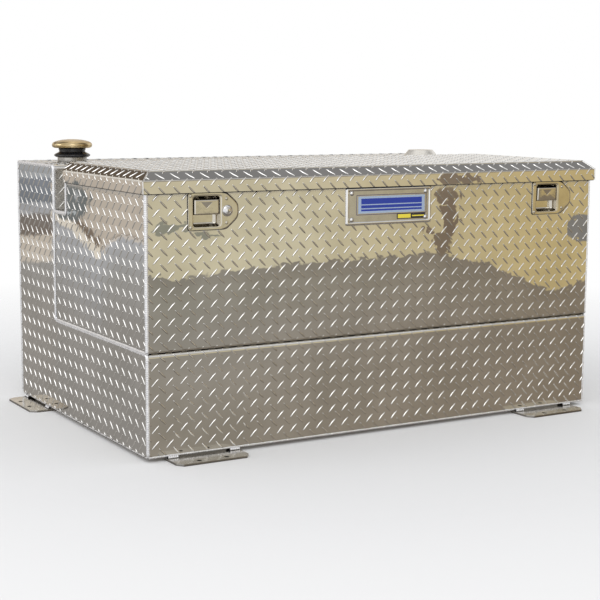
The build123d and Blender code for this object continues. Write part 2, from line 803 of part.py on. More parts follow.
# Gas struts: a bracket at each end, a tube and a rod
for side, way in (("left", -1), ("right", 1)):
    eye_in = strut_x - strut_eye_thick / 2
    eye_out = strut_x + strut_eye_thick / 2
    wall_x = half - box_thick

    with BuildPart() as strut_box_bracket:
        stud_plane = across(*box_stud)
        block(
            (way * (wall_x - bracket_thick), way * wall_x),
            (box_stud[0] - bracket_length, box_stud[0] + strut_eye_r),
            (box_stud[1] - bracket_depth, box_stud[1] + bracket_depth),
        )
        head_x = eye_in - strut_side_gap
        round_bar(stud_plane, way * (eye_out + strut_side_gap), way * wall_x, strut_boss_r)
        round_bar(stud_plane, way * head_x, way * wall_x, strut_pin_r)
        round_bar(stud_plane, way * (head_x - strut_head_thick), way * head_x, strut_head_r)
    save(strut_box_bracket, f"strut_box_bracket_{side}")

    with BuildPart() as strut_lid_bracket:
        stud_plane = across(*lid_stud)
        flange_x = (way * (bracket_in - bracket_flange), way * (bracket_in + bracket_thick))
        web_x = (way * bracket_in, way * (bracket_in + bracket_thick))
        along = (lid_stud[0] - bracket_length / 2, lid_stud[0] + bracket_length / 2)
        block(flange_x, along, (liner_z - bracket_thick, liner_z))
        block(web_x, (lid_stud[0] - strut_eye_r, lid_stud[0] + strut_eye_r), (lid_stud[1], liner_z))
        round_bar(stud_plane, web_x[0], web_x[1], strut_eye_r)
        round_bar(stud_plane, way * (bracket_in - bracket_thick / 2), web_x[0], strut_pin_r)
        for rivet_x, rivet_y in lid_rivets_at:
            rivet_plane = Plane(origin=(rivet_x, rivet_y, liner_z), x_dir=(1, 0, 0), z_dir=(0, 0, 1))
            round_bar(rivet_plane, -bracket_thick, 0, latch_rivet_shank_r + rivet_fit, Mode.SUBTRACT)
    save(strut_lid_bracket, f"strut_lid_bracket_{side}")

    # The strut is drawn upright from its lower eye, then leans to its shut angle
    strut_up = (0, cos(strut_shut_angle), sin(strut_shut_angle))
    strut_foot = Plane(origin=(way * strut_x, *box_stud), x_dir=(1, 0, 0), z_dir=strut_up)
    lower_eye = Plane(origin=(way * strut_x, *box_stud), x_dir=strut_up, z_dir=(1, 0, 0))
    upper_eye = Plane(origin=(way * strut_x, *lid_stud), x_dir=strut_up, z_dir=(1, 0, 0))
    tube_from = strut_eye_r + strut_side_gap
    tube_to = tube_from + strut_tube_length
    bore_r = strut_tube_r - strut_tube_wall
    rod_from = tube_to - strut_rod_inside

    with BuildPart() as strut_tube:
        round_bar(lower_eye, -strut_eye_thick / 2, strut_eye_thick / 2, strut_eye_r)
        with BuildSketch(strut_foot):
            Rectangle(strut_eye_thick, strut_eye_r)
        extrude(amount=tube_from + strut_side_gap)
        round_bar(strut_foot, tube_from, tube_to, strut_tube_r)
        round_bar(strut_foot, tube_from + strut_piston_length / 2, tube_to - strut_piston_length, bore_r,
                  Mode.SUBTRACT)
        round_bar(strut_foot, tube_to - strut_piston_length, tube_to, strut_rod_r + strut_fit, Mode.SUBTRACT)
        round_bar(lower_eye, -strut_eye_thick, strut_eye_thick, strut_pin_r + strut_fit, Mode.SUBTRACT)
    save(strut_tube, f"strut_tube_{side}")

    with BuildPart() as strut_rod:
        round_bar(strut_foot, rod_from, rod_from + strut_piston_length, bore_r - strut_fit)
        round_bar(strut_foot, rod_from, strut_shut - strut_eye_r / 2, strut_rod_r)
        round_bar(upper_eye, -strut_eye_thick / 2, strut_eye_thick / 2, strut_eye_r)
        round_bar(upper_eye, way * strut_eye_thick / 2, way * (strut_eye_thick / 2 + bracket_thick / 2),
                  strut_pin_r)
    save(strut_rod, f"strut_rod_{side}")

with BuildPart() as lid_bracket_rivets:
    for rivet_x, rivet_y in lid_rivets_at:
        sheet = striker_thick if rivet_y < striker_y + striker_flange else bracket_thick
        seat = Plane(origin=(rivet_x, rivet_y, liner_z - sheet), x_dir=(1, 0, 0), z_dir=(0, 0, -1))
        rivet(seat, latch_rivet_head_r, latch_rivet_head, latch_rivet_shank_r, sheet + liner_thick)
save(lid_bracket_rivets, "lid_bracket_rivets")

# Paddle latches
for side, edge in latch_edges.items():
    middle_x = edge + dish_middle
    plate_plane = Plane(origin=(edge, front, latch_z), x_dir=(1, 0, 0), z_dir=(0, -1, 0))
    dish_plane = facing(middle_x, latch_z)
    ear_in = hook_width / 2 + hook_side_fit
    ear_out = ear_in + ear_thick
    shoulder_x = latch_body_width + latch_nose

    with BuildPart() as latch_pan:
        with BuildSketch(plate_plane) as plate_outline:
            with BuildLine():
                FilletPolyline(
                    (0, -latch_half_height), (latch_body_width, -latch_half_height),
                    (shoulder_x, -latch_nose_half_height), (shoulder_x, latch_nose_half_height),
                    (latch_body_width, latch_half_height), (0, latch_half_height),
                    radius=[latch_corner_r, latch_shoulder_r, latch_shoulder_r,
                            latch_shoulder_r, latch_shoulder_r, latch_corner_r],
                    close=True,
                )
            make_face()
        extrude(amount=latch_plate_rise, taper=latch_plate_taper)
        with BuildSketch(plate_plane):
            add(plate_outline.sketch_local)
            offset(amount=-dish_wall * sqrt(2), mode=Mode.REPLACE)
        extrude(amount=latch_plate_rise - dish_wall, taper=latch_plate_taper, mode=Mode.SUBTRACT)
        with BuildSketch(dish_plane.offset(latch_plate_rise)):
            RectangleRounded(dish_width + 2 * dish_wall, 2 * (dish_half_height + dish_wall),
                             dish_corner_r + dish_wall)
        extrude(amount=-(latch_plate_rise + dish_depth + dish_wall))
        with BuildSketch(dish_plane.offset(latch_plate_rise)):
            RectangleRounded(dish_width, 2 * dish_half_height, dish_corner_r)
        extrude(amount=-(dish_depth + latch_plate_rise), mode=Mode.SUBTRACT)
        for ear in (-1, 1):
            block(
                (middle_x + ear * ear_in, middle_x + ear * ear_out),
                (dish_back, hook_pin_y + hook_boss_r),
                (hook_pin_z - hook_boss_r, hook_pin_z + hook_boss_r),
            )
        round_bar(across(hook_pin_y, hook_pin_z), middle_x - ear_out, middle_x + ear_out, hook_pin_r,
                  Mode.SUBTRACT)
        block(
            (middle_x - tab_width / 2 - tab_slot_fit, middle_x + tab_width / 2 + tab_slot_fit),
            (front + dish_depth - dish_wall, dish_back + dish_wall),
            (paddle_pin_z - tab_width, paddle_pin_z + tab_thick + tab_slot_fit),
            Mode.SUBTRACT,
        )
        for rivet_x, rivet_z in latch_rivets_at:
            round_bar(facing(rivet_x, rivet_z), -latch_plate_rise, 2 * latch_plate_rise,
                      latch_rivet_shank_r + rivet_fit, Mode.SUBTRACT)
        if side == "left":
            round_bar(facing(lock_x, latch_z), -latch_plate_rise, 2 * latch_plate_rise,
                      lock_body_r + rivet_fit, Mode.SUBTRACT)
    save(latch_pan, f"latch_pan_{side}")

    with BuildPart() as latch_paddle:
        paddle_x = (middle_x - paddle_width / 2, middle_x + paddle_width / 2)
        paddle_high = latch_z + paddle_top
        paddle_low = paddle_high - paddle_height
        face_y = front - latch_plate_rise
        block(paddle_x, (face_y, face_y + paddle_thick), (paddle_low, paddle_high))
        block(paddle_x, (face_y, front + paddle_grip), (paddle_low, paddle_low + paddle_thick))
        for ear in (-1, 1):
            knuckle_end = middle_x + ear * paddle_width / 2
            knuckle_start = knuckle_end - ear * tab_width
            round_bar(across(paddle_pin_y, paddle_pin_z), knuckle_start, knuckle_end, paddle_knuckle_r)
            block((knuckle_start, knuckle_end), (face_y, paddle_pin_y),
                  (paddle_pin_z - paddle_knuckle_r, paddle_high))
        tab_y = (face_y, paddle_pin_y + tab_length)
        block((middle_x - tab_width / 2, middle_x + tab_width / 2), tab_y,
              (paddle_pin_z - tab_thick / 2, paddle_pin_z + tab_thick / 2))
        round_bar(across(paddle_pin_y, paddle_pin_z), middle_x - tab_width / 2, middle_x + tab_width / 2,
                  paddle_knuckle_r)
        mark_plane = Plane(origin=(middle_x, face_y, paddle_high), x_dir=(1, 0, 0), z_dir=(0, -1, 0))
        with BuildSketch(mark_plane):
            with BuildLine():
                Polyline(
                    (-paddle_mark_width / 2, -paddle_mark_drop), (paddle_mark_width / 2, -paddle_mark_drop),
                    (0, -paddle_mark_drop - paddle_mark_height),
                    close=True,
                )
            make_face()
        extrude(amount=-paddle_mark_depth, mode=Mode.SUBTRACT)
        round_bar(across(paddle_pin_y, paddle_pin_z), paddle_x[0], paddle_x[1],
                  paddle_pin_r + paddle_pin_fit, Mode.SUBTRACT)
    save(latch_paddle, f"latch_paddle_{side}")

    with BuildPart() as latch_hook:
        lean = radians(hook_release_angle)
        hook_plane = Plane(
            origin=(middle_x - hook_width / 2, hook_pin_y, hook_pin_z),
            x_dir=(0, cos(lean), -sin(lean)),
            z_dir=(1, 0, 0),
        )
        nose_low = hook_nose_z - hook_pin_z
        nose_high = nose_low + hook_nose_thick
        arm_back = hook_arm_front + hook_arm_thick
        with BuildSketch(hook_plane):
            with BuildLine():
                Polyline(
                    (-hook_boss_r, 0), (-hook_nose_tip, hook_shoulder), (hook_arm_front, hook_shoulder),
                    (hook_arm_front, nose_low), (-hook_nose_tip, nose_low),
                    (-hook_nose_tip, nose_high - hook_nose_bevel),
                    (hook_nose_bevel - hook_nose_tip, nose_high), (arm_back, nose_high),
                    (arm_back, hook_boss_r), (hook_boss_r, 0),
                    close=True,
                )
            make_face()
            Circle(hook_boss_r)
            Circle(hook_pin_r + paddle_pin_fit, mode=Mode.SUBTRACT)
        extrude(amount=hook_width)
    save(latch_hook, f"latch_hook_{side}")

with BuildPart() as latch_pins:
    for edge in latch_edges.values():
        middle_x = edge + dish_middle
        round_bar(across(paddle_pin_y, paddle_pin_z), middle_x - dish_width / 2, middle_x + dish_width / 2,
                  paddle_pin_r)
        pin_reach = hook_width / 2 + hook_side_fit + ear_thick
        round_bar(across(hook_pin_y, hook_pin_z), middle_x - pin_reach, middle_x + pin_reach, hook_pin_r)
save(latch_pins, "latch_pins")


def front_rivets(places, plate):
    """Rivets through a plate and the box's front wall."""
    for rivet_x, rivet_z in places:
        seat = facing(rivet_x, rivet_z).offset(plate)
        rivet(seat, latch_rivet_head_r, latch_rivet_head, latch_rivet_shank_r, plate + box_thick + rivet_tail)


with BuildPart() as latch_rivets:
    front_rivets(latch_rivets_at, latch_plate_rise)
save(latch_rivets, "latch_rivets")

# Lock: a barrel nutted through the left latch, and a plug with a cam
lock_plane = facing(lock_x, latch_z)
with BuildPart() as lock_barrel:
    round_bar(lock_plane, latch_plate_rise, latch_plate_rise + lock_head_proud, lock_head_r)
    round_bar(lock_plane, -lock_body_length, latch_plate_rise, lock_body_r)
    with BuildSketch(lock_plane.offset(-box_thick)):
        RegularPolygon(lock_nut_r, 6)
    extrude(amount=-lock_nut_thick)
    round_bar(lock_plane, -lock_body_length, latch_plate_rise + lock_head_proud,
              lock_plug_r + lock_plug_fit, Mode.SUBTRACT)
save(lock_barrel, "lock_barrel")

with BuildPart() as lock_plug:
    plug_face = latch_plate_rise + lock_head_proud + lock_plug_proud
    cam_plane = lock_plane.offset(-lock_body_length - hook_play)
    round_bar(lock_plane, -lock_body_length - hook_play, plug_face, lock_plug_r)
    with BuildSketch(cam_plane):
        Circle(cam_width / 2 + hook_play)
        with Locations((0, (cam_width - cam_length) / 2)):
            Rectangle(cam_width, cam_length)
    extrude(amount=-cam_thick)
    with BuildSketch(lock_plane.offset(plug_face)):
        Rectangle(keyway_width, keyway_height)
    extrude(amount=-keyway_depth, mode=Mode.SUBTRACT)
save(lock_plug, "lock_plug")

# Name plate with a raised rim, and its four rivets
with BuildPart() as name_plate:
    with BuildSketch(facing(name_plate_shift, name_plate_z)):
        RectangleRounded(name_plate_width, name_plate_height, name_plate_corner_r)
    extrude(amount=name_plate_thick)
    with BuildSketch(facing(name_plate_shift, name_plate_z).offset(name_plate_thick)):
        RectangleRounded(name_plate_width, name_plate_height, name_plate_corner_r)
        RectangleRounded(name_plate_width - 2 * name_plate_rim, name_plate_height - 2 * name_plate_rim,
                         name_plate_corner_r / 2, mode=Mode.SUBTRACT)
    extrude(amount=name_plate_rim_rise)
    for rivet_x, rivet_z in name_rivets_at:
        round_bar(facing(rivet_x, rivet_z), -name_plate_thick, 2 * name_plate_thick,
                  latch_rivet_shank_r + rivet_fit, Mode.SUBTRACT)
save(name_plate, "name_plate")

with BuildPart() as name_plate_rivets:
    front_rivets(name_rivets_at, name_plate_thick)
save(name_plate_rivets, "name_plate_rivets")

print(f"lid hinge at y {hinge_y:.3f} z {hinge_z:.3f}")
print(f"strut x {strut_x:.3f} foot y {box_stud[0]:.3f} z {box_stud[1]:.3f}")
print(f"strut length shut {strut_shut:.4f} open {strut_open:.4f}")
print(f"strut angle shut {degrees(strut_shut_angle):.5f} open {degrees(strut_open_angle):.5f}")
print(f"paddle pin y {paddle_pin_y:.3f} z {paddle_pin_z:.3f} hook pin y {hook_pin_y:.3f} z {hook_pin_z:.3f}")
print(f"latch middles {[round(edge + dish_middle, 3) for edge in latch_edges.values()]}")
print(f"lock x {lock_x:.3f} z {latch_z:.3f} filler {filler_x:.3f} {filler_y:.3f} port {port_x:.3f} {port_y:.3f}")
print(f"lid opens {lid_open_angle} paddle pulls {paddle_pull_angle} hook lets go at {hook_release_angle}")
print(f"striker foot top {striker_top:.3f} hook nose {hook_nose_z:.3f} liner {liner_z:.3f}")
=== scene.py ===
"""Looks of the truck bed transfer tank: tread relief, weld ripples, materials, stage and camera."""

import math

import bmesh
import bpy
import numpy as np
from mathutils import Matrix, Vector


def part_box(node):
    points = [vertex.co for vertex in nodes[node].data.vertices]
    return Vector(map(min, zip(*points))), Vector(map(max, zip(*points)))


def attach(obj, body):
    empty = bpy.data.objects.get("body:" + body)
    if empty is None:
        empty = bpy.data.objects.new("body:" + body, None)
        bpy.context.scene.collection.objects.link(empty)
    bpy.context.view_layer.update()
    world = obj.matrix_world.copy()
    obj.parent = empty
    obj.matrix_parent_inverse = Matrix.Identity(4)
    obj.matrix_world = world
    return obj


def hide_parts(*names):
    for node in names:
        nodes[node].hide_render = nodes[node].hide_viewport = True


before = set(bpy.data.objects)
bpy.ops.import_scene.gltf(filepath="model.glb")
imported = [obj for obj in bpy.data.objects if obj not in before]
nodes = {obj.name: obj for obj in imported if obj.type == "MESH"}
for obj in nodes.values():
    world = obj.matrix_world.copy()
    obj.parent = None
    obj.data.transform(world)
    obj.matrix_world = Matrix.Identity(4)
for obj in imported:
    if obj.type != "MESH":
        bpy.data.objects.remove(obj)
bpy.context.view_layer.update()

MM = 0.001
SIDES = (("left", -1), ("right", 1))

# Sizes of the CAD part, in millimetres
HALF = 609.6
FRONT = -364.0
REAR = 426.0
RISER = 173.0
BOX_BACK = 172.5
HINGE_WALL = 93.0
BASE = 9.0
SHELF = 237.0
LEDGE = 504.0
BOX_TOP = 601.0
RISER_TOP = 613.0
TANK_THICK = 3.2
TANK_BEND = 10.0
PAD = 25.0
BOX_THICK = 2.5
LID_SIDE = 617.6
LID_FRONT = -372.0
LID_EDGE = 577.0
LID_FOLD = 604.0
LID_TOP = 623.5
LID_BEVEL = 22.0
FILLER = (-510.6, 299.5)
PORT = (540.6, 277.0)
LATCH_EDGES = (-511.6, 424.4)
LATCH_Z = 536.0
# Middle across, middle height, width and height
NAME_PLATE = (2.4, 533.0, 236.0, 86.0)


def rgb(r, g, b):
    return (r, g, b, 1.0)


class Tree:
    """Short hand for building a node tree."""

    def __init__(self, material):
        self.tree = material.node_tree
        self.tree.nodes.clear()

    def add(self, kind, **settings):
        node = self.tree.nodes.new("ShaderNode" + kind)
        for key, value in settings.items():
            setattr(node, key, value)
        return node

    def link(self, source, target):
        self.tree.links.new(source, target)

    def fill(self, node, inputs):
        """Sets or links inputs by number or name."""
        for key, value in inputs.items():
            if isinstance(value, bpy.types.NodeSocket):
                self.link(value, node.inputs[key])
            else:
                node.inputs[key].default_value = value
        return node

    def feed(self, node, **values):
        """Sets or links inputs by name, with _ for a space."""
        return self.fill(node, {key.replace("_", " "): value for key, value in values.items()})

    def place(self):
        """Place on the object, in metres."""
        return self.add("TexCoord").outputs["Object"]

    def parts(self, vector):
        node = self.feed(self.add("SeparateXYZ"), Vector=vector)
        return [node.outputs[axis] for axis in "XYZ"]

    def noise(self, coords, scale, detail=3.0, roughness=0.5, stretch=None):
        if stretch:
            stretched = self.feed(self.add("Mapping"), Vector=coords, Scale=stretch)
            coords = stretched.outputs["Vector"]
        node = self.add("TexNoise")
        self.feed(node, Vector=coords, Scale=scale, Detail=detail, Roughness=roughness)
        return node.outputs["Fac"]

    def spread(self, value, low, high, to_low=0.0, to_high=1.0):
        node = self.add("MapRange")
        self.feed(node, Value=value, From_Min=low, From_Max=high, To_Min=to_low, To_Max=to_high)
        return node.outputs["Result"]

    def mix(self, factor, a, b):
        node = self.add("Mix", data_type="RGBA")
        # A mix node keeps its colours in inputs 6 and 7 and gives its result in output 2
        return self.fill(node, {0: factor, 6: a, 7: b}).outputs[2]

    def math(self, operation, a, b=0.0):
        node = self.add("Math", operation=operation)
        return self.fill(node, {0: a, 1: b}).outputs["Value"]

    def bump(self, height, strength, distance, normal=None):
        node = self.feed(self.add("Bump"), Height=height, Strength=strength, Distance=distance)
        if normal is not None:
            self.link(normal, node.inputs["Normal"])
        return node.outputs["Normal"]

    def openness(self, distance):
        """1 where nothing is near, down to 0 deep in a nook."""
        node = self.add("AmbientOcclusion", samples=8)
        return self.feed(node, Distance=distance).outputs["AO"]

    def ramp(self, value, stops):
        """Colour along a value, in straight pieces between (value, colour) stops."""
        low, high = stops[0][0], stops[-1][0]
        node = self.add("ValToRGB")
        self.link(self.spread(value, low, high), node.inputs["Fac"])
        elements = node.color_ramp.elements
        while len(elements) < len(stops):
            elements.new(0.5)
        for element, (mark, colour) in zip(elements, stops):
            element.position = (mark - low) / (high - low)
            element.color = rgb(*colour)
        return node.outputs["Color"]

    def blend(self, factor, first, second):
        """Mixes two shaders."""
        node = self.add("MixShader")
        return self.fill(node, {0: factor, 1: first.outputs[0], 2: second.outputs[0]})

    def surface(self, shader, kind="Material"):
        self.link(shader.outputs[0], self.add(f"Output{kind}").inputs["Surface"])


def new_tree(name):
    material = bpy.data.materials.new(name)
    material.use_nodes = True
    return material, Tree(material)


# Near-black painted shade that a metal's colour darkens to in its nooks
NOOK_PAINTED_SHADE = (0.05, 0.042, 0.035)
GRAIN_DEPTH = 0.0004
DENT_SCALE = 45.0
# Haze in sheltered places: heights between which it sets in, openness over which it fades, added roughness
HAZE_RISE = (0.42, 0.48)
HAZE_OPEN = (0.55, 0.88)
HAZE_ROUGH = 0.50


def metal(name, dark, light, rough, patch_scale, wave=0.0, wave_scale=5.0, dent=0.0, grain=0.0,
          grain_stretch=(1, 1, 1), grain_scale=900.0, nook=0.0, open_share=(0.25, 0.72), shelter=0.0,
          bare=1.0):
    """Metal in patches of two tones, with uneven roughness and, if asked, waves, dents and grain.

    It has painted shade: its colour darkens in nooks narrower than nook. High up, it turns hazy where
    something stands within shelter of it, both in metres. bare is how metallic it is.
    """
    material, t = new_tree(name)
    coords = t.place()
    patches = t.spread(t.noise(coords, patch_scale, 4.0, 0.55), 0.35, 0.65)
    colour = t.mix(patches, rgb(*dark), rgb(*light))
    if nook:
        # Painted shade: the colour darkens where a nook closes in
        colour = t.mix(t.spread(t.openness(nook), *open_share), rgb(*NOOK_PAINTED_SHADE), colour)
    smear = t.noise(coords, patch_scale * 3.0, 5.0, 0.6)
    roughness = t.spread(smear, 0.3, 0.7, *rough)
    if shelter:
        raised = t.spread(t.parts(coords)[2], *HAZE_RISE)
        hazy = t.math("MULTIPLY", raised, t.spread(t.openness(shelter), *HAZE_OPEN, HAZE_ROUGH, 0.0))
        roughness = t.math("ADD", roughness, hazy)
    shader = t.add("BsdfPrincipled")
    t.feed(shader, Base_Color=colour, Metallic=bare, Roughness=roughness)
    normal = None
    if wave:
        normal = t.bump(t.noise(coords, wave_scale, 2.0, 0.4), 1.0, wave)
    if dent:
        normal = t.bump(t.noise(coords, DENT_SCALE, 1.0, 0.4), 1.0, dent, normal)
    if grain:
        normal = t.bump(t.noise(coords, grain_scale, 2.0, 0.6, grain_stretch), grain, GRAIN_DEPTH, normal)
    if normal is not None:
        t.link(normal, shader.inputs["Normal"])
    t.surface(shader)
    return material


def plastic(name, colour, rough, specks=0.02, bump=0.1, scale=700.0):
    """Dull plastic, rubber or paint with a fine grain and faint dust."""
    material, t = new_tree(name)
    coords = t.place()
    dust = t.spread(t.noise(coords, 30.0, 4.0, 0.6), 0.45, 0.8)
    paler = [min(1.0, c + specks) for c in colour]
    shader = t.add("BsdfPrincipled")
    t.feed(shader, Base_Color=t.mix(dust, rgb(*colour), rgb(*paler)),
           Roughness=t.spread(t.noise(coords, 60.0), 0.3, 0.7, rough - 0.06, rough + 0.08),
           Normal=t.bump(t.noise(coords, scale, 3.0), bump, 0.0005))
    t.surface(shader)
    return material


# nook gives the metals below painted shade in their nooks, such as under the lid's skirt and round the
# latches
SHEET = metal("tread_sheet", (0.70, 0.685, 0.65), (0.80, 0.785, 0.755), (0.004, 0.011), patch_scale=9.0,
              wave=0.00006, dent=0.00004, nook=0.008, shelter=0.12)
LID_SHEET = metal("lid_sheet", (0.72, 0.70, 0.665), (0.82, 0.80, 0.77), (0.004, 0.011), patch_scale=9.0,
                  wave=0.0001, dent=0.00007, nook=0.004)
CAST = metal("cast_port", (0.78, 0.75, 0.69), (0.87, 0.84, 0.78), (0.30, 0.45), patch_scale=40.0,
             grain=0.1, grain_scale=400.0, bare=0.7)
LUG = metal("tread_lug", (0.76, 0.75, 0.73), (0.90, 0.89, 0.87), (0.04, 0.12), patch_scale=60.0,
            grain=0.04, grain_scale=1200.0)
MILL = metal("mill_plate", (0.70, 0.70, 0.69), (0.84, 0.84, 0.83), (0.28, 0.42), patch_scale=25.0,
             grain=0.25, grain_scale=300.0, grain_stretch=(1.0, 8.0, 1.0))
# Its nook darkening is strong painted shade, near black in the gaps between the feet and the tank
DULL = metal("dull_plate", (0.58, 0.56, 0.52), (0.72, 0.70, 0.66), (0.10, 0.20), patch_scale=25.0,
             grain=0.1, grain_scale=300.0, grain_stretch=(1.0, 6.0, 1.0), nook=0.014,
             open_share=(0.44, 0.80))
WELD = metal("weld_bead", (0.82, 0.82, 0.84), (0.96, 0.96, 0.97), (0.16, 0.32), patch_scale=90.0,
             grain=0.3, nook=0.003, bare=0.6)
# Cream, half-dull painted highlight for the lid's side folds, in place of the bright line they reflect
FOLD_SHEEN = metal("fold_painted_sheen", (0.88, 0.84, 0.76), (0.97, 0.93, 0.85), (0.20, 0.34), patch_scale=60.0, bare=0.55)
STAINLESS = metal("polished_stainless", (0.68, 0.64, 0.57), (0.80, 0.77, 0.70), (0.05, 0.11),
                  patch_scale=40.0, wave=0.0002, wave_scale=30.0, nook=0.012)
LATCH_METAL = metal("bright_latch", (0.62, 0.585, 0.51), (0.71, 0.675, 0.60), (0.03, 0.08),
                    patch_scale=40.0, wave=0.00010, wave_scale=40.0, nook=0.016)
ZINC = metal("zinc_steel", (0.55, 0.56, 0.57), (0.72, 0.72, 0.70), (0.25, 0.4), patch_scale=50.0, grain=0.2)
CHROME = metal("bright_chrome", (0.74, 0.74, 0.75), (0.84, 0.84, 0.84), (0.04, 0.10), patch_scale=60.0)
GOLD = metal("satin_gold", (0.475, 0.345, 0.165), (0.71, 0.575, 0.35), (0.14, 0.26), patch_scale=35.0,
             grain=0.12, grain_scale=500.0, nook=0.006)
RUBBER = plastic("black_rubber", (0.025, 0.025, 0.025), 0.62, specks=0.03)
NECK = plastic("moulded_black", (0.010, 0.010, 0.012), 0.20, specks=0.012, bump=0.04)
PAINT = plastic("black_enamel", (0.02, 0.02, 0.02), 0.25, specks=0.01, bump=0.03)
FOAM = plastic("rigid_foam", (0.80, 0.74, 0.52), 0.85, specks=0.05, bump=0.8, scale=260.0)

# Print of the name plate, in millimetres from its middle: across, up, half the width, half the height
PRINT_RIM = 7.0
PRINT_PANEL = (7.0, 3.0, 92.0, 19.5)
PRINT_BORDER = (7.0, 3.0, 97.0, 23.0)
PRINT_LINE = 1.3
PRINT_BANDS = ((7.0, 11.0, 84.0, 6.5), (7.0, -1.2, 84.0, 3.4), (7.0, -9.2, 84.0, 2.2))
PRINT_BARS = ((42.0, -26.0, 18.0, 4.5), (81.0, -26.0, 17.0, 1.4))
PRINT_BAR_GROUND = (61.0, -26.0, 40.0, 6.5)


def name_plate_material():
    """Plain striped plate of no maker: framed blue bands on a bright ground and two short yellow bars."""
    material, t = new_tree("name_plate_print")
    coords = t.place()
    x, _, z = t.parts(coords)
    middle_x, middle_z, wide, high = NAME_PLATE

    def within(value, middle, reach):
        away = t.math("ABSOLUTE", t.math("SUBTRACT", value, middle * MM))
        return t.math("LESS_THAN", away, reach * MM)

    def area(across, up, half_wide, half_high):
        in_width = within(x, middle_x + across, half_wide)
        return t.math("MULTIPLY", in_width, within(z, middle_z + up, half_high))

    def frame_of(across, up, half_wide, half_high):
        inner = area(across, up, half_wide - PRINT_LINE, half_high - PRINT_LINE)
        return t.math("SUBTRACT", area(across, up, half_wide, half_high), inner)

    def any_of(areas):
        covered = area(*areas[0])
        for one in areas[1:]:
            covered = t.math("MAXIMUM", covered, area(*one))
        return covered

    field = area(0.0, 0.0, wide / 2 - PRINT_RIM, high / 2 - PRINT_RIM)
    panel = area(*PRINT_PANEL)
    bands = any_of(PRINT_BANDS)
    bar_ground = area(*PRINT_BAR_GROUND)
    speckle = t.spread(t.noise(coords, 40.0, 4.0), 0.3, 0.7)
    steel = t.mix(speckle, rgb(0.80, 0.80, 0.80), rgb(0.90, 0.90, 0.90))
    colour = t.mix(field, steel, t.mix(speckle, rgb(0.50, 0.50, 0.52), rgb(0.64, 0.64, 0.66)))
    for covered, shade in ((t.math("MULTIPLY", panel, 0.85), (0.42, 0.58, 0.95)),
                           (frame_of(*PRINT_BORDER), (0.10, 0.08, 0.30)), (bands, (0.02, 0.05, 0.36)),
                           (bar_ground, (0.03, 0.03, 0.04)), (any_of(PRINT_BARS), (0.86, 0.72, 0.08))):
        colour = t.mix(covered, colour, rgb(*shade))
    inked = t.math("MAXIMUM", t.math("MAXIMUM", bands, bar_ground), t.math("MULTIPLY", panel, 0.5))
    shader = t.add("BsdfPrincipled")
    t.feed(shader, Base_Color=colour, Metallic=t.spread(inked, 0.0, 1.0, 1.0, 0.2),
           Roughness=t.spread(speckle, 0.0, 1.0, 0.06, 0.14))
    t.surface(shader)
    return material


PLATE_PRINT = name_plate_material()


def both(name):
    return (f"{name}_left", f"{name}_right")


def dress(material, *names):
    """Gives CAD nodes their finished material."""
    for name in names:
        node = nodes[name]
        if not node.material_slots:
            node.data.materials.append(material)
        for slot in node.material_slots:
            slot.material = material


dress(SHEET, "tank_front_skin", "tank_back_skin", *both("tank_end"), "box_body", *both("box_end"))
dress(LID_SHEET, "lid_pan")
dress(CAST, "pump_port", "pump_port_plug")
dress(MILL, *both("tank_baffle"), "lid_liner")
dress(DULL, *both("foot_front"), *both("foot_side"), "foot_pads", "filler_bung")
dress(STAINLESS, *both("latch_pan"), *both("latch_paddle"), "hinge_box_leaf", "hinge_lid_leaf", "hinge_pin",
      "hinge_box_rivets", "hinge_lid_rivets", "latch_pins", "latch_rivets", "name_plate_rivets",
      "lid_bracket_rivets")
dress(ZINC, *both("latch_hook"), *both("striker"), *both("strut_box_bracket"), *both("strut_lid_bracket"))
dress(CHROME, *both("strut_rod"), "lock_barrel", "lock_plug")
dress(PAINT, *both("strut_tube"))
dress(RUBBER, "filler_gasket", "lid_seal")
dress(NECK, "filler_neck")
dress(GOLD, "filler_cap")
dress(FOAM, "lid_foam")
dress(PLATE_PRINT, "name_plate")


# Tread lugs
LUG_HEIGHT = 1.3
LUG_HALF_LENGTH = 13.0
LUG_HALF_WIDTH = 2.15
LUG_RIM = 12
# How far the ends draw in towards the top in half widths, how pointed they are, and how long the ridge is
LUG_DRAW = 1.6
LUG_POINT = 1.25
LUG_RIDGE = 0.42
# Share of the outline and share of the height, ring by ring
LUG_RINGS = ((1.0, 0.0), (0.75, 0.44), (0.40, 0.85))
# A lug that is cut smaller than this is left out
LUG_LEAST = 3.0


def lug_shape():
    """One lug that points along u: its vertices (u, v, h) and its triangles."""
    points, faces = [], []
    for share, rise in LUG_RINGS:
        for n in range(LUG_RIM):
            angle = 2 * math.pi * n / LUG_RIM
            along = math.cos(angle) * (LUG_HALF_LENGTH - (1 - share) * LUG_HALF_WIDTH * LUG_DRAW)
            swing = math.copysign(abs(math.sin(angle)) ** LUG_POINT, math.sin(angle))
            points.append((along, swing * LUG_HALF_WIDTH * share, rise * LUG_HEIGHT))
    ridge = len(points)
    points += [(way * LUG_HALF_LENGTH * LUG_RIDGE, 0.0, LUG_HEIGHT) for way in (-1, 1)]
    for ring in range(len(LUG_RINGS) - 1):
        low, high = ring * LUG_RIM, (ring + 1) * LUG_RIM
        for n in range(LUG_RIM):
            m = (n + 1) % LUG_RIM
            faces += [(low + n, low + m, high + m), (low + n, high + m, high + n)]
    top = (len(LUG_RINGS) - 1) * LUG_RIM
    quarter = LUG_RIM // 4
    for n in range(LUG_RIM):
        m = (n + 1) % LUG_RIM
        crown, other = (ridge + 1, ridge) if n < quarter or n >= 3 * quarter else (ridge, ridge + 1)
        faces.append((top + n, top + m, crown))
        if n in (quarter - 1, 3 * quarter - 1):
            faces.append((top + m, other, crown))
    return np.array(points), np.array(faces)


SHAPE, SHAPE_FACES = lug_shape()


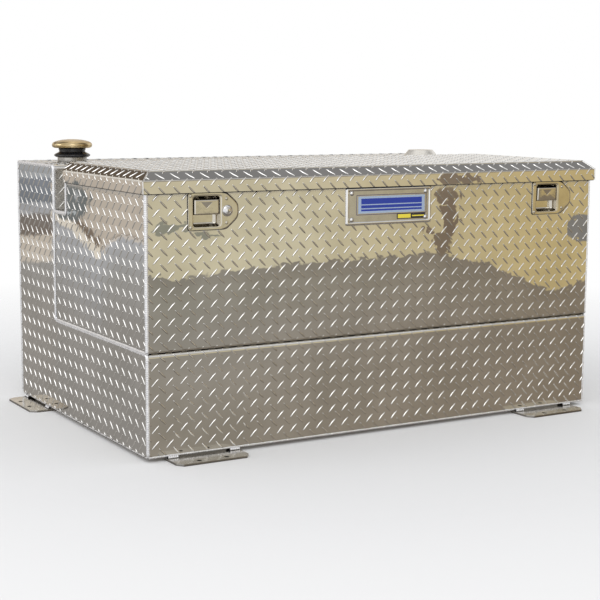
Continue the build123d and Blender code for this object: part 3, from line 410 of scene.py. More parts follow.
def new_object(name, data):
    """Object with this mesh, lamp or camera, in the scene."""
    added = bpy.data.objects.new(name, data)
    bpy.context.scene.collection.objects.link(added)
    return added


def show(name, mesh, material, body, slot):
    """Puts a finished mesh in the scene, riding on a CAD body."""
    mesh.validate()
    mesh.materials.append(material)
    piece = new_object(name, mesh)
    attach(piece, body)
    return piece


def mesh_piece(name, points, faces, material, body, slot):
    """Smooth piece from arrays of points in millimetres and of faces that all have as many sides."""
    mesh = bpy.data.meshes.new(name)
    points = np.asarray(points, np.float32) * MM
    faces = np.asarray(faces, np.int32)
    mesh.vertices.add(len(points))
    mesh.vertices.foreach_set("co", points.ravel())
    mesh.loops.add(faces.size)
    mesh.loops.foreach_set("vertex_index", faces.ravel())
    mesh.polygons.add(len(faces))
    mesh.polygons.foreach_set("loop_start", np.arange(0, faces.size, faces.shape[1], dtype=np.int32))
    mesh.update(calc_edges=True)
    mesh.polygons.foreach_set("use_smooth", np.ones(len(faces), bool))
    return show(name, mesh, material, body, slot)


def inside(regions, u, v):
    hit = np.zeros(u.shape, bool)
    for u0, u1, v0, v1 in regions:
        hit |= (u >= u0) & (u <= u1) & (v >= v0) & (v <= v1)
    return hit


def clear_of_round(hole, cu, cv, u, v):
    """Pushes a lug's points out of a round hole; None for a lug whose middle lies in it."""
    hu, hv, radius = hole
    if math.hypot(cu - hu, cv - hv) < radius:
        return None
    away = np.hypot(u - hu, v - hv)
    push = np.where(away < radius, radius / np.maximum(away, 1e-6), 1.0)
    return hu + (u - hu) * push, hv + (v - hv) * push


def clear_of_square(hole, cu, cv, u, v):
    """Pushes a lug's points to the side of a square hole that its middle is on; None for one inside."""
    u0, u1, v0, v1 = hole
    if u0 < cu < u1 and v0 < cv < v1:
        return None
    within = (u > u0) & (u < u1) & (v > v0) & (v < v1)
    if not within.any():
        return u, v
    gaps = (u0 - cu, cu - u1, v0 - cv, cv - v1)
    side = min((gap, n) for n, gap in enumerate(gaps) if gap >= 0)[1]
    if side < 2:
        return np.where(within, hole[side], u), v
    return u, np.where(within, hole[side], v)


def flat_trim(regions, holes=()):
    """Cuts lugs at the edges of a union of rectangles, and at holes in it."""

    def trim(cu, cv, u, v):
        gaps = [math.hypot(cu - min(max(cu, u0), u1), cv - min(max(cv, v0), v1))
                for u0, u1, v0, v1 in regions]
        nearest = gaps.index(min(gaps))
        if gaps[nearest] > LUG_HALF_LENGTH / 2:
            return None
        u0, u1, v0, v1 = regions[nearest]
        kept = inside(regions, u, v)
        points = (np.where(kept, u, np.clip(u, u0, u1)), np.where(kept, v, np.clip(v, v0, v1)))
        for hole in holes:
            clear = clear_of_round if len(hole) == 3 else clear_of_square
            points = clear(hole, cu, cv, *points)
            if points is None:
                return None
        return points

    return trim


def grid_steps(low, high, start, pitch):
    """Numbers of the lugs whose middles lie between low and high, and one more at each end."""
    return range(math.floor((low - start) / pitch), math.ceil((high - start) / pitch) + 1)


def lug_field(name, body, place, bounds, phase, pitch, trim):
    """Field of lugs over one face: alternate lugs lean right and left, at half a pitch from each other."""
    u0, u1, v0, v1 = bounds
    points, faces = [], []
    for family, lean in ((0, 1), (1, -1)):
        cos, sin = math.cos(lean * math.pi / 4), math.sin(lean * math.pi / 4)
        shape_u = SHAPE[:, 0] * cos - SHAPE[:, 1] * sin
        shape_v = SHAPE[:, 0] * sin + SHAPE[:, 1] * cos
        start_u, start_v = (start + family * gap / 2 for start, gap in zip(phase, pitch))
        for i in grid_steps(u0, u1, start_u, pitch[0]):
            for j in grid_steps(v0, v1, start_v, pitch[1]):
                cu, cv = start_u + i * pitch[0], start_v + j * pitch[1]
                trimmed = trim(cu, cv, cu + shape_u, cv + shape_v)
                if trimmed is None or min(np.ptp(trimmed[0]), np.ptp(trimmed[1])) < LUG_LEAST:
                    continue
                faces.append(SHAPE_FACES + len(points) * len(SHAPE))
                points.append(place(*trimmed, SHAPE[:, 2]))
    return mesh_piece(name, np.concatenate(points), np.concatenate(faces), LUG, body, "tread_plate")


def stack(x, y, z):
    return np.stack(np.broadcast_arrays(x, y, z), axis=1)


def flat_field(name, place, regions, phase, pitch, holes=()):
    """Lugs over flat faces of the tank or the toolbox."""
    r = np.array(regions)
    bounds = (r[:, 0].min(), r[:, 1].max(), r[:, 2].min(), r[:, 3].max())
    lug_field(name, "tank", place, bounds, phase, pitch, flat_trim(regions, holes))


def tank_front_place(u, v, h):
    """Up the front and over the fold at the shelf."""
    angle = np.maximum(v - (SHELF - TANK_BEND), 0.0) / TANK_BEND
    return stack(u, FRONT + TANK_BEND - (TANK_BEND + h) * np.cos(angle),
                 np.minimum(v, SHELF - TANK_BEND) + (TANK_BEND + h) * np.sin(angle))


# How far apart lugs of one lean stand, across and up
TANK_PITCH = (34.2, 34.1)
BOX_PITCH = (33.85, 33.5)
TANK_END_PITCH = (35.4, 33.6)
BOX_END_PITCH = (36.0, 33.7)
LID_PITCH = (35.0, 34.6)
# Where one lug's middle lies on each end as seen from outside: tank, toolbox
END_PHASES = {"left": ((-380.0, 564.7), (87.7, 540.7)), "right": ((-350.0, 40.0), (-345.0, 262.0))}
# Where the front has no lugs, under each latch: start and end from the latch's edge, reach up and down
LATCH_BODY = (1.0, 97.0, 39.0)
LATCH_NOSE = (96.0, 119.0, 20.0)
# How far lugs run in under the name plate, and the bare rings round the filler and the port
PLATE_LAP = 1.0
FILLER_CLEAR = 37.5
PORT_CLEAR = 49.5

skin = HALF - TANK_THICK
box_skin = HALF - BOX_THICK
riser_high = RISER_TOP - TANK_THICK

front_holes = [(edge + start, edge + end, LATCH_Z - reach, LATCH_Z + reach)
               for edge in LATCH_EDGES for start, end, reach in (LATCH_BODY, LATCH_NOSE)]
plate_x, plate_z, plate_wide, plate_high = NAME_PLATE
plate_reach = (plate_wide / 2 - PLATE_LAP, plate_high / 2 - PLATE_LAP)
front_holes.append((plate_x - plate_reach[0], plate_x + plate_reach[0],
                    plate_z - plate_reach[1], plate_z + plate_reach[1]))

flat_field("tread_tank_front", tank_front_place,
           [(-skin, skin, BASE + 4, SHELF - 0.1 * TANK_BEND)], (-590.6, 71.4), TANK_PITCH)
flat_field("tread_box_front", lambda u, v, h: stack(u, FRONT - h, v),
           [(-box_skin, box_skin, SHELF + 4, BOX_TOP - 5)], (-584.5, 570.0), BOX_PITCH, front_holes)

# Ends: regions run from front to back, and u to the right as each face is seen from outside
tank_end = [(FRONT + TANK_THICK, REAR - TANK_THICK, BASE + TANK_THICK, SHELF - TANK_THICK),
            (RISER + TANK_THICK, REAR - TANK_THICK, BASE + TANK_THICK, riser_high)]
box_end = [(FRONT + BOX_THICK, HINGE_WALL - BOX_THICK, SHELF + BOX_THICK, BOX_TOP - 3),
           (FRONT + BOX_THICK, BOX_BACK - BOX_THICK, SHELF + BOX_THICK, LEDGE - BOX_THICK)]


def as_seen(regions, way):
    """Turns front-to-back ranges into ranges of u."""
    return [(*sorted((way * y0, way * y1)), z0, z1) for y0, y1, z0, z1 in regions]


def end_place(way):
    return lambda u, v, h: stack(way * (HALF + h), way * u, v)


for side, way in SIDES:
    tank_phase, box_phase = END_PHASES[side]
    flat_field(f"tread_tank_end_{side}", end_place(way), as_seen(tank_end, way), tank_phase, TANK_END_PITCH)
    flat_field(f"tread_box_end_{side}", end_place(way), as_seen(box_end, way), box_phase, BOX_END_PITCH)

flat_field("tread_tank_back", lambda u, v, h: stack(-u, REAR + h, v),
           [(-skin, skin, BASE + 9, riser_high)], (-590.0, 40.0), TANK_PITCH)
flat_field("tread_riser_top", lambda u, v, h: stack(u, v, RISER_TOP + h),
           [(-skin, skin, RISER + 9, REAR - TANK_THICK)], (-596.0, 190.0), TANK_PITCH,
           [(*FILLER, FILLER_CLEAR), (*PORT, PORT_CLEAR)])
flat_field("tread_riser_front", lambda u, v, h: stack(u, RISER - h, v),
           [(-skin, skin, LEDGE + 2, RISER_TOP - 9)], (-586.0, 520.0), TANK_PITCH)
flat_field("tread_ledge", lambda u, v, h: stack(u, v, LEDGE + h),
           [(-box_skin, box_skin, HINGE_WALL + 5, BOX_BACK - 4)], (-590.0, 108.0), BOX_PITCH)
flat_field("tread_hinge_wall", lambda u, v, h: stack(-u, HINGE_WALL + h, v),
           [(-box_skin, box_skin, LEDGE + 5, BOX_TOP - 32)], (-588.0, 520.0), BOX_PITCH)

# Lid: one sheet whose front and two sides fold down over a bevel and a skirt
bevel_rise = LID_TOP - LID_FOLD
bevel_slant = math.hypot(LID_BEVEL, bevel_rise)
bevel_lean = math.atan2(bevel_rise, LID_BEVEL)
fold_reach = bevel_slant + LID_FOLD - LID_EDGE
top_side = LID_SIDE - LID_BEVEL
top_front = LID_FRONT + LID_BEVEL
LID_PHASE = (-591.9, top_front - bevel_slant - 4.0)
# How far past an edge of the sheet a lug's middle may lie before the lug is left out
LID_PAST = 6.0
# Lugs stand a little prouder on the lid's top
TOP_PROUD = 1.4
# The side skirts slant off at their back end: (distance past the bevel's lower fold, set-back)
SKIRT_BACK = ((-1.0, 0.0), (1.0, 5.0), (LID_FOLD - LID_EDGE, 14.0))


def mitre(d):
    """How far out the bevel has come at a distance past the top fold."""
    return np.clip(d, 0, bevel_slant) * LID_BEVEL / bevel_slant


def over_fold(d, h):
    """How far out and how high a point lies at a distance past the lid's top fold, on its outside."""
    down = np.clip(d, 0, bevel_slant) * bevel_rise / bevel_slant + np.maximum(d - bevel_slant, 0)
    reach = LUG_HALF_WIDTH
    angle = np.interp(d, (-reach, reach, bevel_slant - reach, bevel_slant + reach),
                      (0.0, bevel_lean, bevel_lean, math.pi / 2))
    return mitre(d) + h * np.sin(angle), LID_TOP - down + h * np.cos(angle)


def lid_front_place(u, v, h):
    out, z = over_fold(top_front - v, h)
    return stack(u, top_front - out + np.maximum(v - top_front, 0), z)


def lid_side_place(way):
    def place(u, v, h):
        past = way * u - top_side
        out, z = over_fold(past, h)
        return stack(way * (top_side + out + np.minimum(past, 0)), v, z)

    return place


def nearer_front(cu, cv):
    return top_front - cv >= abs(cu) - top_side


def lid_front_part(cu, cv, u, v):
    past = top_front - cv
    if not nearer_front(cu, cv) or not -LUG_HALF_LENGTH <= past <= fold_reach + LID_PAST:
        return None
    if abs(cu) > top_side + mitre(past) + LID_PAST:
        return None
    v = np.maximum(v, top_front - fold_reach)
    limit = top_side + mitre(top_front - v)
    return np.clip(u, -limit, limit), v


def lid_side_part(way):
    def trim(cu, cv, u, v):
        past = way * cu - top_side
        if nearer_front(cu, cv) or not -LUG_HALF_LENGTH <= past <= fold_reach + LID_PAST:
            return None
        if cv > HINGE_WALL + LID_PAST or top_front - cv > mitre(past) + LID_PAST:
            return None
        u = way * np.minimum(way * u, top_side + fold_reach)
        past = way * u - top_side
        back = HINGE_WALL - np.interp(past - bevel_slant, *zip(*SKIRT_BACK))
        return u, np.clip(v, top_front - mitre(past), back)

    return trim


def lid_top_part(cu, cv, u, v):
    past = max(top_front - cv, abs(cu) - top_side)
    if past >= -LUG_HALF_LENGTH or cv > HINGE_WALL + LID_PAST:
        return None
    return u, np.minimum(v, HINGE_WALL)


lid_bounds = (-top_side - fold_reach, top_side + fold_reach, top_front - fold_reach, HINGE_WALL)
for part, place, trim in (("top", lambda u, v, h: stack(u, v, LID_TOP + TOP_PROUD * h), lid_top_part),
                          ("front", lid_front_place, lid_front_part),
                          ("left", lid_side_place(-1), lid_side_part(-1)),
                          ("right", lid_side_place(1), lid_side_part(1))):
    lug_field(f"tread_lid_{part}", "lid", place, lid_bounds, LID_PHASE, LID_PITCH, trim)


# Weld beads and rolled edges
BEAD_SIDES = 7
# A bead is a little more than half round
BEAD_ARC = 1.15 * math.pi
RIPPLE_LENGTH = 4.6
# How much later a ripple comes in the bead's middle, and how deep it falls for its height
RIPPLE_LAG = 0.9
RIPPLE_FALL = -0.3
# Slow changes of a bead's thickness: share, turns of the wave for each millimetre in radians, start
SWELLS = ((0.05, 0.031, 0.0), (0.04, 0.13, 1.0))


def along_line(line, step):
    """Even distances along a line, and its points there."""
    line = np.array(line, float)
    lengths = np.linalg.norm(np.diff(line, axis=0), axis=1)
    along = np.linspace(0, lengths.sum(), max(int(lengths.sum() / step), 2))
    marks = np.concatenate([[0], np.cumsum(lengths)])
    return along, np.stack([np.interp(along, marks, line[:, k]) for k in range(3)], axis=1)


def bead_skin(line, outward, thick, ripple_high, step):
    """Points of one bead, ring by ring. Its outward direction and radius may change along it."""
    along, middle = along_line(line, step)
    if callable(thick):
        thick = thick(middle)
    tangent = np.gradient(middle, axis=0)
    tangent /= np.linalg.norm(tangent, axis=1)[:, None]
    facing = np.array([outward(p) if callable(outward) else outward for p in middle], float)
    facing -= (facing * tangent).sum(1)[:, None] * tangent
    facing /= np.linalg.norm(facing, axis=1)[:, None]
    across = np.cross(tangent, facing)
    ripple = along * 2 * math.pi / RIPPLE_LENGTH
    swell = 1.0 + sum(share * np.sin(along * pace + start) for share, pace, start in SWELLS)
    lines = []
    for n in range(BEAD_SIDES):
        angle = BEAD_ARC * (n / (BEAD_SIDES - 1) - 0.5)
        out, aside = math.cos(angle), math.sin(angle)
        crest = ripple_high * np.maximum(np.sin(ripple + RIPPLE_LAG * out), RIPPLE_FALL)
        size = (thick * swell + crest * out)[:, None]
        lines.append(middle + facing * size * out + across * size * aside)
    return np.stack(lines, axis=1).reshape(-1, 3)


def bead(name, runs, radius, body, replaced=(), slot="weld_metal", material=WELD, ripple_high=0.28,
         step=1.25):
    """Beads along runs: each a line of points, the direction it looks in and, if need be, its own radius."""
    points, faces = [], []
    count = 0
    for line, outward, *own in runs:
        skin_points = bead_skin(line, outward, own[0] if own else radius, ripple_high, step)
        grid = np.arange(len(skin_points)).reshape(-1, BEAD_SIDES) + count
        corners = (grid[:-1, :-1], grid[:-1, 1:], grid[1:, 1:], grid[1:, :-1])
        faces.append(np.stack([corner.ravel() for corner in corners], axis=1))
        points.append(skin_points)
        count += len(skin_points)
    piece = mesh_piece(name, np.concatenate(points), np.concatenate(faces), material, body, slot)
    if replaced:
        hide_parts(*replaced)
    return piece


def rounded(corners, radius, steps=5):
    """Square corners of a closed outline, each rounded by its own radius."""
    out = []
    for k, r in enumerate(radius):
        before, corner, after = (np.array(corners[(k + m) % len(corners)], float) for m in (-1, 0, 1))
        to_before = r * (before - corner) / np.linalg.norm(before - corner)
        to_after = r * (after - corner) / np.linalg.norm(after - corner)
        for m in range(steps + 1):
            angle = math.pi / 2 * m / steps
            out.append(tuple(corner + to_before * (1 - math.sin(angle)) + to_after * (1 - math.cos(angle))))
    return out


def end_bead(outline, way, inset):
    """Run round an end: it looks out diagonally between the end's face and each folded face."""
    flat = np.array(outline)
    line = [(way * (HALF - inset), y, z) for y, z in [*outline, outline[0]]]

    def outward(p):
        nearest, normal = 1e9, (0.0, 0.0)
        spot = np.array(p[1:])
        for start, end in zip(flat, np.roll(flat, -1, axis=0)):
            d = end - start
            length = np.linalg.norm(d)
            share = min(max(np.dot(spot - start, d) / length ** 2, 0), 1)
            gap = np.linalg.norm(spot - start - d * share)
            if gap < nearest - 1e-9:
                nearest, normal = gap, (d[1] / length, -d[0] / length)
        return (way, *normal)

    return line, outward


def thin_at_base(radius):
    """Radius of the end beads, which are thinner where they turn under the tank."""
    return lambda p: np.interp(p[:, 2], THIN_TO_FULL, (THIN_BEAD, radius))


# Outlines of the ends, clockwise as seen from the right, so that (dz, -dy) looks outwards.
# Each corner has its y and z, the way inwards along each, and the radius of its bend
TANK_INSET = 2.1
TANK_OUTLINE = ((FRONT, BASE, 1, 1, 1), (REAR, BASE, -1, 1, 8), (REAR, RISER_TOP, -1, -1, 1),
                (RISER, RISER_TOP, 1, -1, 8), (RISER, SHELF, 1, -1, 9), (FRONT, SHELF, 1, -1, 8))
BOX_INSET = 1.6
BOX_OUTLINE = ((FRONT, SHELF, 1, 1, 3), (BOX_BACK, SHELF, -1, 1, 7), (BOX_BACK, LEDGE, -1, -1, 3),
               (HINGE_WALL, LEDGE, -1, -1, 3), (HINGE_WALL, BOX_TOP, -1, -1, 1), (FRONT, BOX_TOP, 1, -1, 1))


def inset_corners(outline, inset):
    return [(y + in_y * inset, z + in_z * inset) for y, z, in_y, in_z, _ in outline]


tank_corners = inset_corners(TANK_OUTLINE, TANK_INSET)
tank_line = rounded(tank_corners, [corner[-1] for corner in TANK_OUTLINE])
box_line = rounded(inset_corners(BOX_OUTLINE, BOX_INSET), [corner[-1] for corner in BOX_OUTLINE])
# Radii of the end beads, which show thicker on the left in the photograph, and of the long seams
TANK_BEADS = {"left": 4.1, "right": 2.9}
BOX_BEADS = {"left": 4.3, "right": 2.6}
SEAM_BEAD = 2.9
THIN_BEAD = 2.5
THIN_TO_FULL = (BASE + 3.0, BASE + 9.0)

tank_runs = [(*end_bead(tank_line, way, TANK_INSET), thin_at_base(TANK_BEADS[side])) for side, way in SIDES]
box_runs = [(*end_bead(box_line, way, BOX_INSET), BOX_BEADS[side]) for side, way in SIDES]
for (y, z), lean in ((tank_corners[0], -1), (tank_corners[2], 1)):
    tank_runs.append(([(-HALF + 2, y, z), (HALF - 2, y, z)], (0, lean, lean), SEAM_BEAD))
bead("weld_tank", tank_runs, TANK_BEADS["left"], "tank", ["tank_weld_bead"])
bead("weld_box", box_runs, BOX_BEADS["left"], "tank", ["box_weld_bead"])

# Welds between the toolbox and the tank: three passes along the shelf, and one up the riser
JOIN_SUNK = 1.4
JOIN_PASSES = ((-3.0, 0.0, 1.9), (0.0, 2.0, 2.4), (3.0, 0.0, 1.9))
JOIN_UPRIGHT = 4.4
join_runs = []
for _, way in SIDES:
    x = way * (HALF - JOIN_SUNK)
    for rise, sunk, size in JOIN_PASSES:
        line = [(x - way * sunk, y, SHELF + rise) for y in (FRONT + 8, RISER)]
        join_runs.append((line, (way, 0, 0), size))
    join_runs.append(([(x, RISER, SHELF), (x, RISER, LEDGE)], (way, 0, 0), JOIN_UPRIGHT))
bead("weld_join", join_runs, 2.5, "tank", ["join_weld_bead"])

# Welds that hold each foot: a short lumpy bead in front of each of its two pads
FOOT_PROUD = 1.5
FOOT_LOW = 2.0
foot_runs = []
for name, across, outward in (("foot_front_left", 0, (0, -1)), ("foot_front_right", 0, (0, -1)),
                              ("foot_side_left", 1, (-1, 0)), ("foot_side_right", 1, (1, 0))):
    low, high = (corner[across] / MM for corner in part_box(name))
    face = (HALF * outward[0], FRONT * abs(outward[1]))
    for start, end in ((low + 1, low + PAD), (high - PAD, high - 1)):
        line = []
        for along in (start, end):
            spot = [face[0] + outward[0] * FOOT_PROUD, face[1] + outward[1] * FOOT_PROUD, BASE - FOOT_LOW]
            spot[across] = along
            line.append(spot)
        foot_runs.append((line, (*outward, 0.5)))
bead("weld_feet", foot_runs, 3.6, "tank", ripple_high=0.9)


def shell_piece(name, points, faces, material, body, slot, flat=(), thick=0.0):
    """Piece from loose faces, with some left unsmoothed and, if asked, thickened inwards."""
    mesh = bpy.data.meshes.new(name)
    mesh.from_pydata([tuple(c * MM for c in p) for p in points], [], [tuple(f) for f in faces])
    for n, polygon in enumerate(mesh.polygons):
        polygon.use_smooth = n not in flat
    piece = show(name, mesh, material, body, slot)
    if thick:
        solid = piece.modifiers.new("sheet", "SOLIDIFY")
        solid.thickness = thick * MM
        solid.offset = -1.0
    level = piece.modifiers.new("flats", "WEIGHTED_NORMAL")
    level.weight = 100
    return piece


def facing_front(x, z):
    """Turns (across, up, proud) of a piece on the front into the part's own millimetres."""
    return lambda across, up, proud: (x + across, FRONT - proud, z + up)


def on_filler(u, w, h):
    return FILLER[0] + u, FILLER[1] + w, h


def sides_of(left, right, low, high):
    """Four sides of an outline, each as (angle of its normal, distance from the middle)."""
    return [(0.0, right), (math.pi / 2, high), (math.pi, left), (-math.pi / 2, low)]


def square(half_wide, half_high):
    return sides_of(half_wide, half_wide, half_high, half_high)


def loop_reach(planes, angle, inset, sharp):
    """Distance from the middle to an outline of sides, whose corners are rounder the lower sharp is."""
    total = 0.0
    for side, distance in planes:
        facing = math.cos(angle - side)
        if facing > 1e-3:
            total += ((distance - inset) / facing) ** -sharp
    return total ** (-1 / sharp)


# Points in each ring round a latch, round the name plate and round turned shapes
COUNT = 144
PLATE_COUNT = 240
TURNED_COUNT = 96
LOCK_COUNT = 48
PLUG_COUNT = 40
RIVET_COUNT = 20
KEY_COUNT = 16


def ring_points(planes, middle, inset, high, sharp, widen=None, count=COUNT):
    """One ring, anticlockwise as seen from the front. Widen scales its inset by direction."""
    ring = []
    for n in range(count):
        angle = 2 * math.pi * n / count
        reach = loop_reach(planes, angle, inset * widen(angle) if widen else inset, sharp)
        ring.append((middle[0] + reach * math.cos(angle), middle[1] + reach * math.sin(angle), high))
    return ring


def ringed(rings, place):
    """Points of a stack of rings, and the quads between each ring and the next."""
    count = len(rings[0])
    faces = [(k + n, k + (n + 1) % count, k + count + (n + 1) % count, k + count + n)
             for k in range(0, (len(rings) - 1) * count, count) for n in range(count)]
    return [place(*p) for ring in rings for p in ring], faces


def lathe(profile, place, count):
    """Turned shape from (radius, height) points: its points and faces, closed where the radius is 0."""
    points, faces, rings = [], [], []
    for radius, high in profile:
        rings.append(len(points))
        turns = [2 * math.pi * n / count for n in range(count if radius else 1)]
        points += [place(radius * math.cos(turn), radius * math.sin(turn), high) for turn in turns]
    for k, (a, b) in enumerate(zip(rings, rings[1:])):
        for n in range(count):
            m = (n + 1) % count
            if profile[k][0] == 0:
                faces.append((a, b + n, b + m))
            elif profile[k + 1][0] == 0:
                faces.append((a + n, b, a + m))
            else:
                faces.append((a + n, b + n, b + m, a + m))
    return points, faces


# Latches: a pressed face with a rounded dish over each CAD pan, and a rounded cover on each paddle
DISH_X = 43.5
NOSE_LEAN = math.atan2(29, 25)
PLATE_SIDES = [(0.0, 77.5), (NOSE_LEAN, 61.9), (math.pi / 2, 40.0), (math.pi, 43.5),
               (-math.pi / 2, 40.0), (-NOSE_LEAN, 61.9)]
PLATE_SHARP = 26.0
DISH_SIDES = square(32.5, 33.5)
DISH_SHARP = 11.0
# The opening in the dish's floor, over the CAD pan's own
SLOT_MIDDLE = (DISH_X, 17.4)
SLOT_SIDES = sides_of(9.0, 9.0, 16.0, 5.5)
SQUARE_SHARP = 60.0
# (inset, height) of each ring, from the plate's edge to the dish and down its wall
PLATE_RINGS = [(-0.3, 0.0), (0.3, 1.2), (1.3, 2.1), (2.8, 2.9), (4.8, 3.4), (6.4, 3.5)]
DISH_RINGS = [(-2.4, 3.5), (-1.0, 3.3), (0.0, 2.5), (0.6, 1.2), (0.9, -4.0), (1.5, -7.5), (2.8, -10.6),
              (4.8, -13.0), (7.4, -14.4), (10.0, -14.8)]
GASKET_RINGS = [(-1.0, -0.2), (-0.9, 0.5), (-0.1, 0.7)]
# The paddle's cover, and the triangle pressed into it: (inset, fall for each millimetre down)
COVER_SIDES = square(29.4, 16.4)
COVER_RINGS = [(0.0, 1.4), (0.1, 3.0), (0.7, 4.1), (1.8, 4.8), (3.2, 5.0)]
COVER_UP = 9.0
COVER_TOP = 5.0
TRIANGLE_LEAN = math.atan2(14.5, 14.0)
TRIANGLE_SIDES = [(math.pi / 2, 5.0), (math.pi + TRIANGLE_LEAN, 6.3), (-TRIANGLE_LEAN, 6.3)]
TRIANGLE_MIDDLE = (0.0, 6.5)
TRIANGLE_HIGH = 11.5
TRIANGLE_SHARP = 90.0
TRIANGLE_RINGS = [(-0.3, 0.0), (0.0, 0.003), (0.3, 0.055)]
# How far each paddle's face tips down, in degrees
PADDLE_LEANS = {"left": 0.3, "right": 2.2}


def nose_share(angle):
    """1 round the nose of the latch's plate, 0 elsewhere."""
    return min(max((math.cos(angle) - 0.66) / 0.14, 0.0), 1.0)


def nose_wide(angle):
    """The plate's bevel is broad round its nose and narrow elsewhere."""
    return 0.10 + 0.55 * nose_share(angle)


def lip_wide(angle):
    """The dish's lip is broad on the side of the nose."""
    return 1.0 + 2.0 * nose_share(angle)


def latch_face(side, edge):
    """Pressed plate with its dish, and the gasket behind its edge."""
    middle = (DISH_X, 0.0)
    place = facing_front(edge, LATCH_Z)
    rings = [ring_points(PLATE_SIDES, middle, *ring, PLATE_SHARP, nose_wide) for ring in PLATE_RINGS]
    rings += [ring_points(DISH_SIDES, middle, *ring, DISH_SHARP, lip_wide if ring[0] < 0 else None)
              for ring in DISH_RINGS]
    rings.append(ring_points(SLOT_SIDES, SLOT_MIDDLE, 0.0, DISH_RINGS[-1][1], SQUARE_SHARP))
    shell_piece(f"latch_face_{side}", *ringed(rings, place), LATCH_METAL, "tank", "stainless", thick=0.5)
    rings = [ring_points(PLATE_SIDES, middle, *ring, PLATE_SHARP) for ring in GASKET_RINGS]
    shell_piece(f"latch_gasket_{side}", *ringed(rings, place), RUBBER, "tank", "black_rubber", thick=0.4)


def paddle_face(side, edge, lean):
    """Rounded cover with a pressed triangle; lean tips its face down a little."""
    rings = [ring_points(COVER_SIDES, (0.0, 0.0), *ring, PLATE_SHARP) for ring in COVER_RINGS]
    for inset, fall in TRIANGLE_RINGS:
        ring = ring_points(TRIANGLE_SIDES, TRIANGLE_MIDDLE, inset, COVER_TOP, TRIANGLE_SHARP)
        rings.append([(u, w, COVER_TOP - (TRIANGLE_HIGH - w) * fall) for u, w, _ in ring])
    tilt = math.tan(math.radians(lean))
    place = facing_front(edge + DISH_X, LATCH_Z + COVER_UP)
    points, faces = ringed(rings, lambda u, w, h: place(u, w, h + w * tilt if h > 1.5 else h))
    bottom = len(faces)
    faces.append(range(len(points) - COUNT, len(points)))
    shell_piece(f"paddle_face_{side}", points, faces, LATCH_METAL, f"latch_paddle_{side}", "stainless",
                flat=[bottom], thick=0.5)


for (side, _), edge in zip(SIDES, LATCH_EDGES):
    latch_face(side, edge)
    paddle_face(side, edge, PADDLE_LEANS[side])

# Outline of a rivet's dome: shares of its radius and of its height
DOME = ((1.0, 0.0), (0.97, 0.35), (0.80, 0.70), (0.45, 0.95), (0.0, 1.0))


def domes(name, spots, material, radius, base, top):
    """Rivet heads as low domes on the front."""
    profile = [(radius * across, base + (top - base) * high) for across, high in DOME]
    points, faces = [], []
    for x, z in spots:
        more_points, more_faces = lathe(profile, facing_front(x, z), RIVET_COUNT)
        faces += [tuple(k + len(points) for k in face) for face in more_faces]
        points += more_points
    shell_piece(name, points, faces, material, "tank", "stainless")


LATCH_RIVETS = ((6.0, 34.0), (92.0, 26.0))
PLATE_RIVETS = (16.0, 13.0)
latch_spots = [(edge + x, LATCH_Z + way * z)
               for edge in LATCH_EDGES for x, z in LATCH_RIVETS for way in (-1, 1)]
plate_spots = [(plate_x + way_x * (plate_wide / 2 - PLATE_RIVETS[0]),
                plate_z + way_z * (plate_high / 2 - PLATE_RIVETS[1]))
               for way_x in (-1, 1) for way_z in (-1, 1)]
domes("latch_rivet_domes", latch_spots, LATCH_METAL, radius=4.0, base=3.0, top=5.2)
domes("name_plate_domes", plate_spots, CHROME, radius=5.6, base=1.6, top=5.0)

# Lock: a turned collar over the barrel's head, and a domed face on the plug with its key slot, a black patch
# of painted shade where the keyway opens
LOCK_X = 93.5
COLLAR = [(12.3, 3.4), (12.3, 4.3), (11.8, 5.4), (10.7, 6.5), (9.0, 7.4), (6.5, 8.1), (6.3, 7.9), (6.3, 5.6)]
PLUG_DOME = [(6.1, 5.8), (6.1, 7.9), (5.8, 8.3), (3.4, 8.7), (0, 8.9)]
KEY_SLOT = [(0.8, 8.6), (0.7, 8.95), (0, 9.05)]
KEY_SLOT_LONG = 4.0
lock_place = facing_front(LATCH_EDGES[0] + LOCK_X, LATCH_Z)
shell_piece("lock_collar", *lathe(COLLAR, lock_place, LOCK_COUNT), CHROME, "tank", "lock_metal", thick=0.4)
shell_piece("lock_dome", *lathe(PLUG_DOME, lock_place, PLUG_COUNT), CHROME, "lock_plug", "lock_metal")
# The key slot is a black patch of painted shade in place of the keyway's dark opening
key_slot_shade = lathe(KEY_SLOT, lambda u, w, h: lock_place(u, w * KEY_SLOT_LONG, h), KEY_COUNT)
shell_piece("key_slot_shade", *key_slot_shade, RUBBER, "lock_plug", "lock_metal")

# Name plate: a plate with a rolled rim, in place of the CAD plate
RIM_RINGS = ((0.0, 0.0), (0.4, 1.6), (1.5, 2.8), (3.4, 3.5), (5.2, 3.5), (6.4, 3.0), (7.2, 2.3), (8.2, 2.0))
RIM_SIDES = square(plate_wide / 2, plate_high / 2)
rim = [ring_points(RIM_SIDES, (0.0, 0.0), *ring, SQUARE_SHARP, count=PLATE_COUNT) for ring in RIM_RINGS]
points, faces = ringed(rim, facing_front(plate_x, plate_z))
faces.append(range(len(points) - PLATE_COUNT, len(points)))
piece = shell_piece("name_plate_face", points, faces, PLATE_PRINT, "tank", "stainless", thick=0.8)
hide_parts("name_plate")

